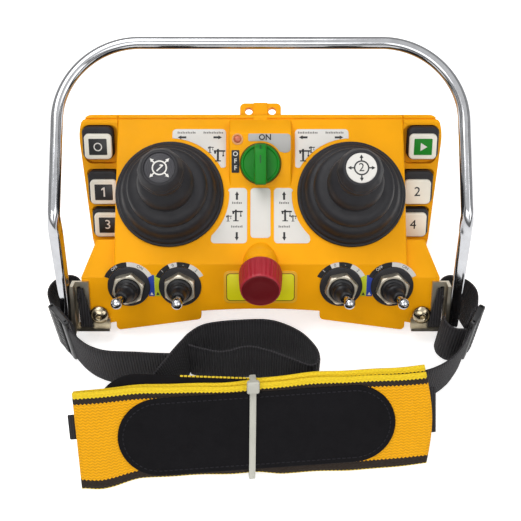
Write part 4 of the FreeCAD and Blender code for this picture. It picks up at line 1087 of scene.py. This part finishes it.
# The webbing behind each buckle's bars
THREAD_BACK, THREAD_LOW, THREAD_HIGH = 3.3, level(3.0), level(37.0)
for side, sign, tab, run in (("left", -1, TAB_LEFT, STRAP_LEFT), ("right", 1, TAB_RIGHT, STRAP_RIGHT)):
    start, end = Vector(tab[-1]), Vector(run[0])
    along = (end - start).normalized()
    inward = Vector((along.y, -along.x)) * sign * THREAD_BACK
    plan = [start + along + inward, (start + end) / 2 + inward, end - along * 2.5 + inward]
    strap(side + "_buckle_webbing", plan, THREAD_LOW, THREAD_HIGH, side + "_strap")

# A fold of the tab in front of each bracket
TAB_FOLD = [(109.6, -15.0), (112.3, -15.0), (112.0, -40.4), (104.6, -40.4)]
for side, sign in SIDES:
    fold = slab(TAB_FOLD, 2.1, 3.9, 0.4, 3)
    points, faces = flipped(fold) if sign < 0 else fold
    uvs = [(x, y + WEB_WIDTH) for x, y, z in points]
    woven(side + "_tab_fold", (points, faces, uvs), WEB, FRONT, (side + "_strap",))


# Ladder-lock buckles

BUCKLE_HEIGHT, BUCKLE_HALF, BUCKLE_END, BUCKLE_RAIL = 43.0, 2.0, 4.2, 2.4


def bar(x0, x1, z0, z1, half, corner=0.9):
    """A rounded bar standing on the buckle's own line."""
    outline = rectangle(x0, x1, z0, z1, corner, 4)
    body = slab(outline, 0.0, half, min(corner, half) * 0.7, 3)
    other = [(x, z, -h) for x, z, h in body[0]], [list(reversed(f)) for f in body[1]]
    return joined([body, other])


def ladder_lock(x0, y0, x1, y1):
    """Two end bars, two rails and a ribbed middle bar, along a line on the floor."""
    run = Vector((x1 - x0, y1 - y0))
    length, middle = run.length, run.length / 2
    along = run / length
    parts = [bar(x, x + BUCKLE_END, 0, BUCKLE_HEIGHT, BUCKLE_HALF, 1.6) for x in (0, length - BUCKLE_END)]
    parts.append(bar(middle - 2.0, middle + 2.0, 1.0, BUCKLE_HEIGHT - 1.0, BUCKLE_HALF * 1.15, 1.0))
    for z in (0, BUCKLE_HEIGHT - BUCKLE_RAIL):
        parts.append(bar(0.6, length - 0.6, z, z + BUCKLE_RAIL, BUCKLE_HALF * 0.9, 0.8))
    for k in range(9):
        z = 5.0 + k * 4.1
        parts.append(bar(middle - 1.7, middle + 1.7, z, z + 0.9, BUCKLE_HALF * 1.3, 0.3))
    points, faces = joined(parts)
    out = Vector((-along.y, along.x))
    placed = [(x0 + along.x * px + out.x * pz, y0 + along.y * px + out.y * pz, py) for px, py, pz in points]
    return placed, faces


BUCKLES = {"left": (-125.5, -61.0, -113.5, -75.0), "right": (132.5, -61.5, 124.5, -75.2)}
for side, line in BUCKLES.items():
    lock = ladder_lock(*line)
    make(side + "_ladder_lock", lock, BLACK, WORLD, "root", (side + "_buckle",), 40)


# Neck pad: two woven layers with sewn patches, held by a cable tie

PAD_LENGTH, PAD_WIDTH, PAD_THICK = 198.0, 56.6, 3.0
PAD_RISE, PAD_GAP = 1.2, 0.6
PATCH_LENGTH, PATCH_WIDTH = 157.0, 47.0
BACK_LIFT, BACK_TURN, BACK_SLOPE = 5.2, -6.2, 0.018
FRONT_ACROSS, BACK_ACROSS = 2.5, -10.0
PAD_PLACE = (Matrix.Scale(MM, 4) @ Matrix.Translation((-3.0, -151.3, 2.9))
             @ Matrix.Rotation(math.radians(4.3), 4, "Z") @ Matrix.Rotation(math.radians(50.0), 4, "X"))
PAD_BACK_LOW = -PAD_GAP - PAD_THICK

# Drift of the long edges along the pad: drawn in by the tie, drooping at the left end
PAD_FOOT_DRIFT = ((-99, -0.8), (-89, -2.0), (-63, 2.7), (-40, 3.0), (-3, 1.9), (17, -0.6), (67, -1.1),
                  (99, -0.5))
PAD_HEAD_DRIFT = ((-99, 1.1), (-63, 1.4), (-3, -1.0), (5, -0.5), (40, 0.5), (99, -0.8))
PAD_BOW, PAD_BOW_START = 3.4, 60.0


def drift(knots, x):
    """The smooth value at x between the given knots."""
    for (x0, a), (x1, b) in zip(knots, knots[1:]):
        if x <= x1:
            return a + (b - a) * eased((x - x0) / (x1 - x0))
    return knots[-1][1]


def pad_layer(rise, low, high, slope=0.0):
    """A woven band with soft rolled edges and drifting long sides. slope lifts its right upper corner."""
    columns, rows = 132, 40
    points, uvs = [], []
    for side, base in ((0, low), (1, high)):
        for i in range(columns + 1):
            x = PAD_LENGTH * (i / columns - 0.5)
            wave = 0.35 * math.sin(x * 0.07) + 0.2 * math.sin(x * 0.19 + 1.0)
            bow = PAD_BOW * eased((x - PAD_BOW_START) / (PAD_LENGTH / 2 - PAD_BOW_START))
            for j in range(rows + 1):
                v = j / rows
                edge = min(v, 1 - v, i / columns * 3.5, (1 - i / columns) * 3.5) * PAD_WIDTH
                pull = max(0.0, 1.0 - edge / 1.6) * (high - low) * 0.38
                y = rise + v * PAD_WIDTH + wave * (2 * abs(v - 0.5)) ** 4 + slope * x * v
                y += drift(PAD_HEAD_DRIFT, x) * v + drift(PAD_FOOT_DRIFT, x) * (1 - v)
                points.append((x + bow * math.sin(math.pi * v), y, base + (pull if side == 0 else -pull)))
                uvs.append((x + PAD_LENGTH / 2, v * PAD_WIDTH))
    return points, two_faced(columns, rows), uvs


for side, layer in (("front", pad_layer(0.0, 0.0, PAD_THICK)),
                    ("back", pad_layer(PAD_RISE, PAD_BACK_LOW, -PAD_GAP, BACK_SLOPE))):
    woven("pad_%s_layer" % side, layer, PAD, PAD_PLACE, ("pad_" + side,),
          50)


def stadium(length, width, steps=28):
    """A band outline with round ends."""
    reach, radius = length / 2 - width / 2, width / 2
    return arc(radius, -90, 90, reach, 0, steps) + arc(radius, 90, 270, -reach, 0, steps)


def stitches(length, width, height, pitch=2.9, size=1.9):
    """A row of short raised threads along a round-ended line."""
    outline = [Vector(p) for p in stadium(length, width, 40)]
    outline.append(outline[0])
    parts, carry = [], 0.0
    for a, b in zip(outline, outline[1:]):
        run = (b - a).length
        while carry < run:
            here = a.lerp(b, carry / run)
            turn = math.degrees(math.atan2((b - a).y, (b - a).x))
            thread = slab(rectangle(-size / 2, size / 2, -0.3, 0.3, 0.28, 2), 0.0, 0.28, 0.12, 2)
            parts.append(shifted(thread, here.x, here.y, height, turn))
            carry += pitch
        carry -= run
    return joined(parts)


PATCH_HIGH = PAD_THICK + 1.0
BACK_MIDDLE = PAD_RISE + PAD_WIDTH / 2 + BACK_LIFT


def on_front_patch(shape):
    return shifted(shape, FRONT_ACROSS, PAD_WIDTH / 2)


def on_back_patch(shape):
    return shifted(shape, BACK_ACROSS, BACK_MIDDLE, 0, BACK_TURN)


patch_outline = stadium(PATCH_LENGTH, PATCH_WIDTH)
front = on_front_patch(slab(patch_outline, PAD_THICK - 0.6, PATCH_HIGH, 0.5, 4))
back = on_back_patch(slab(patch_outline, PAD_BACK_LOW - 1.0, PAD_BACK_LOW + 0.2, 0.3, 3))
for side, patch in (("front", front), ("back", back)):
    piece = make(side + "_patch", patch, PATCH, PAD_PLACE, "root", ("pad_patches",), 40)
seam = stitches(PATCH_LENGTH - 6.0, PATCH_WIDTH - 6.0, PATCH_HIGH - 0.1)
make("patch_stitches", on_front_patch(seam), THREAD, PAD_PLACE)

# Pale binding on the upper edge of the back patch
stitch = slab(rectangle(-0.9, 0.9, -0.4, 0.4, 0.3, 3), PAD_BACK_LOW - 0.6, PAD_BACK_LOW + 0.4, 0.2, 2)
binding = joined([shifted(stitch, 2.2 * k, PATCH_WIDTH / 2) for k in range(-14, 24)])
make("patch_binding", on_back_patch(binding), LEMON, PAD_PLACE)

# Strap ends that show between the two layers
for side, (x0, x1, y0, y1) in (("left", (-103.0, -60.0, 29.0, 44.0)), ("right", (60.0, 105.0, 18.0, 46.0))):
    points, faces = slab(rectangle(x0, x1, y0, y1, 0.6, 3), -0.5, -0.1, 0.1, 2)
    shape, flat = (points, faces, [(x, y) for x, y, z in points]), ((y1 - y0) * MM, (x1 - x0) * MM)
    woven(side + "_pad_webbing", shape, WEB, PAD_PLACE, ())

# Cable tie
TIE_X, TIE_HALF, TIE_THICK, TIE_CLIMB, TIE_LEAN, TIE_STEP = -2.0, 1.8, 1.2, 7.0, 0.06, 0.55
TIE_LOW, TIE_HIGH, TIE_TOP = PAD_BACK_LOW - 1.2, PATCH_HIGH + 0.2, PAD_RISE + PAD_WIDTH + 0.2


def tie_loop():
    """The tie's band round both layers, ribbed on its outer face."""
    inner = [(-0.2, TIE_HIGH), (-0.2, -0.2), (PAD_RISE - 0.2, PAD_BACK_LOW - 0.2),
             (PAD_RISE + TIE_CLIMB, TIE_LOW), (TIE_TOP, TIE_LOW), (TIE_TOP, TIE_HIGH)]
    line = [Vector(p) for p in rounded(inner, 1.2, 5)]
    line = divided(line + line[:1], TIE_STEP)[:-1]
    middle = Vector((PAD_WIDTH / 2, 0))
    points, count = [], len(line)
    for k, here in enumerate(line):
        along = (line[(k + 1) % count] - line[k - 1]).normalized()
        out = Vector((-along.y, along.x))
        if (here + out - middle).length < (here - middle).length:
            out = -out
        thick = TIE_THICK * (1.0 if k % 2 else 0.82)
        half = [(TIE_HALF, 0.0), (TIE_HALF, thick * 0.8), (TIE_HALF - 0.4, thick)]
        section = [(-TIE_HALF, 0.0)] + half + [(-x, depth) for x, depth in half[:0:-1]]
        for x, depth in section:
            at = here + out * depth
            points.append((TIE_X + x, at.x, at.y))
    return points, walls(6, count, closed=True)


lock_outline = rectangle(TIE_X - 3.5, TIE_X + 3.5, TIE_TOP - 5.8, TIE_TOP + 1.2, 1.2, 5)
lock = slab(lock_outline, TIE_HIGH, TIE_HIGH + 3.5, 0.9, 4)
tie_points, tie_faces = joined([tie_loop(), lock])
tie = [(x + TIE_LEAN * y, y, z) for x, y, z in tie_points], tie_faces
make("tie_band", tie, NYLON, PAD_PLACE, "root", ("cable_tie",), 40)


# Floor, light and camera

FLOOR_GLOW, SKY_LIGHT = 0.62, 0.42
floor_mesh = bpy.data.meshes.new("floor")
floor_mesh.from_pydata([(-6, -6, 0), (6, -6, 0), (6, 6, 0), (-6, 6, 0)], [], [(0, 1, 2, 3)])
floor = bpy.data.objects.new("floor", floor_mesh)
scene.collection.objects.link(floor)
ground = surface("floor_white")
ground.set("Base Color", linear(235, 235, 235))
ground.set("Roughness", 0.9)
ground.set("Specular IOR Level", 0.1)
ground.set("Emission Color", (1.0, 1.0, 1.0, 1.0))
ground.set("Emission Strength", ground.math("MULTIPLY", ground.seen(), FLOOR_GLOW))
floor_mesh.materials.append(ground.owner)

# Reflected studio: black at the horizon, then grey walls, and one dark gap below the bright ceiling
SKY_TONES = ((0.02, 0.26), (0.3, 0.3), (0.36, 0.85), (0.46, 0.9), (0.5, 0.22), (0.66, 0.26), (0.72, 0.95))
sky = Nodes(bpy.data.worlds.new("studio"), "Background")
scene.world = sky.owner
height = sky.add("SeparateXYZ", {0: sky.place("Generated")}).outputs["Z"]
tones = sky.add("ValToRGB", {0: height})
for at, tone in SKY_TONES:
    tones.color_ramp.elements.new(at).color = (tone, tone, tone, 1.0)
strength = sky.add("MapRange", {"Value": sky.seen(), "To Min": SKY_LIGHT, "To Max": tones.outputs["Color"]})
sky.set("Color", (1.0, 1.0, 1.0, 1.0))
sky.set("Strength", strength.outputs["Result"])


def lamp(name, at, to, size, power):
    light = bpy.data.lights.new(name, "AREA")
    light.shape = "RECTANGLE"
    light.size, light.size_y = size
    light.energy = power
    holder = bpy.data.objects.new(name, light)
    holder.location = at
    holder.rotation_euler = (Vector(to) - Vector(at)).to_track_quat("-Z", "Y").to_euler()
    scene.collection.objects.link(holder)


lamp("key", (-0.35, 0.25, 1.15), (0, 0, 0.05), (0.9, 0.7), 7.0)
lamp("fill", (0.75, -0.55, 0.75), (0, -0.03, 0.04), (0.7, 0.7), 3.2)
lamp("front", (-0.25, -0.8, 0.85), (0, -0.06, 0.02), (0.9, 0.5), 3.8)

camera = bpy.data.cameras.new("camera")
camera.sensor_width = 36.0
camera.lens = 64.95
camera.clip_start, camera.clip_end = 0.02, 30.0
view = bpy.data.objects.new("camera", camera)
view.location = (0.0, -0.361, 0.516)
view.rotation_euler = (math.radians(35.0), 0.0, 0.0)
scene.collection.objects.link(view)
scene.camera = view

bpy.context.view_layer.update()
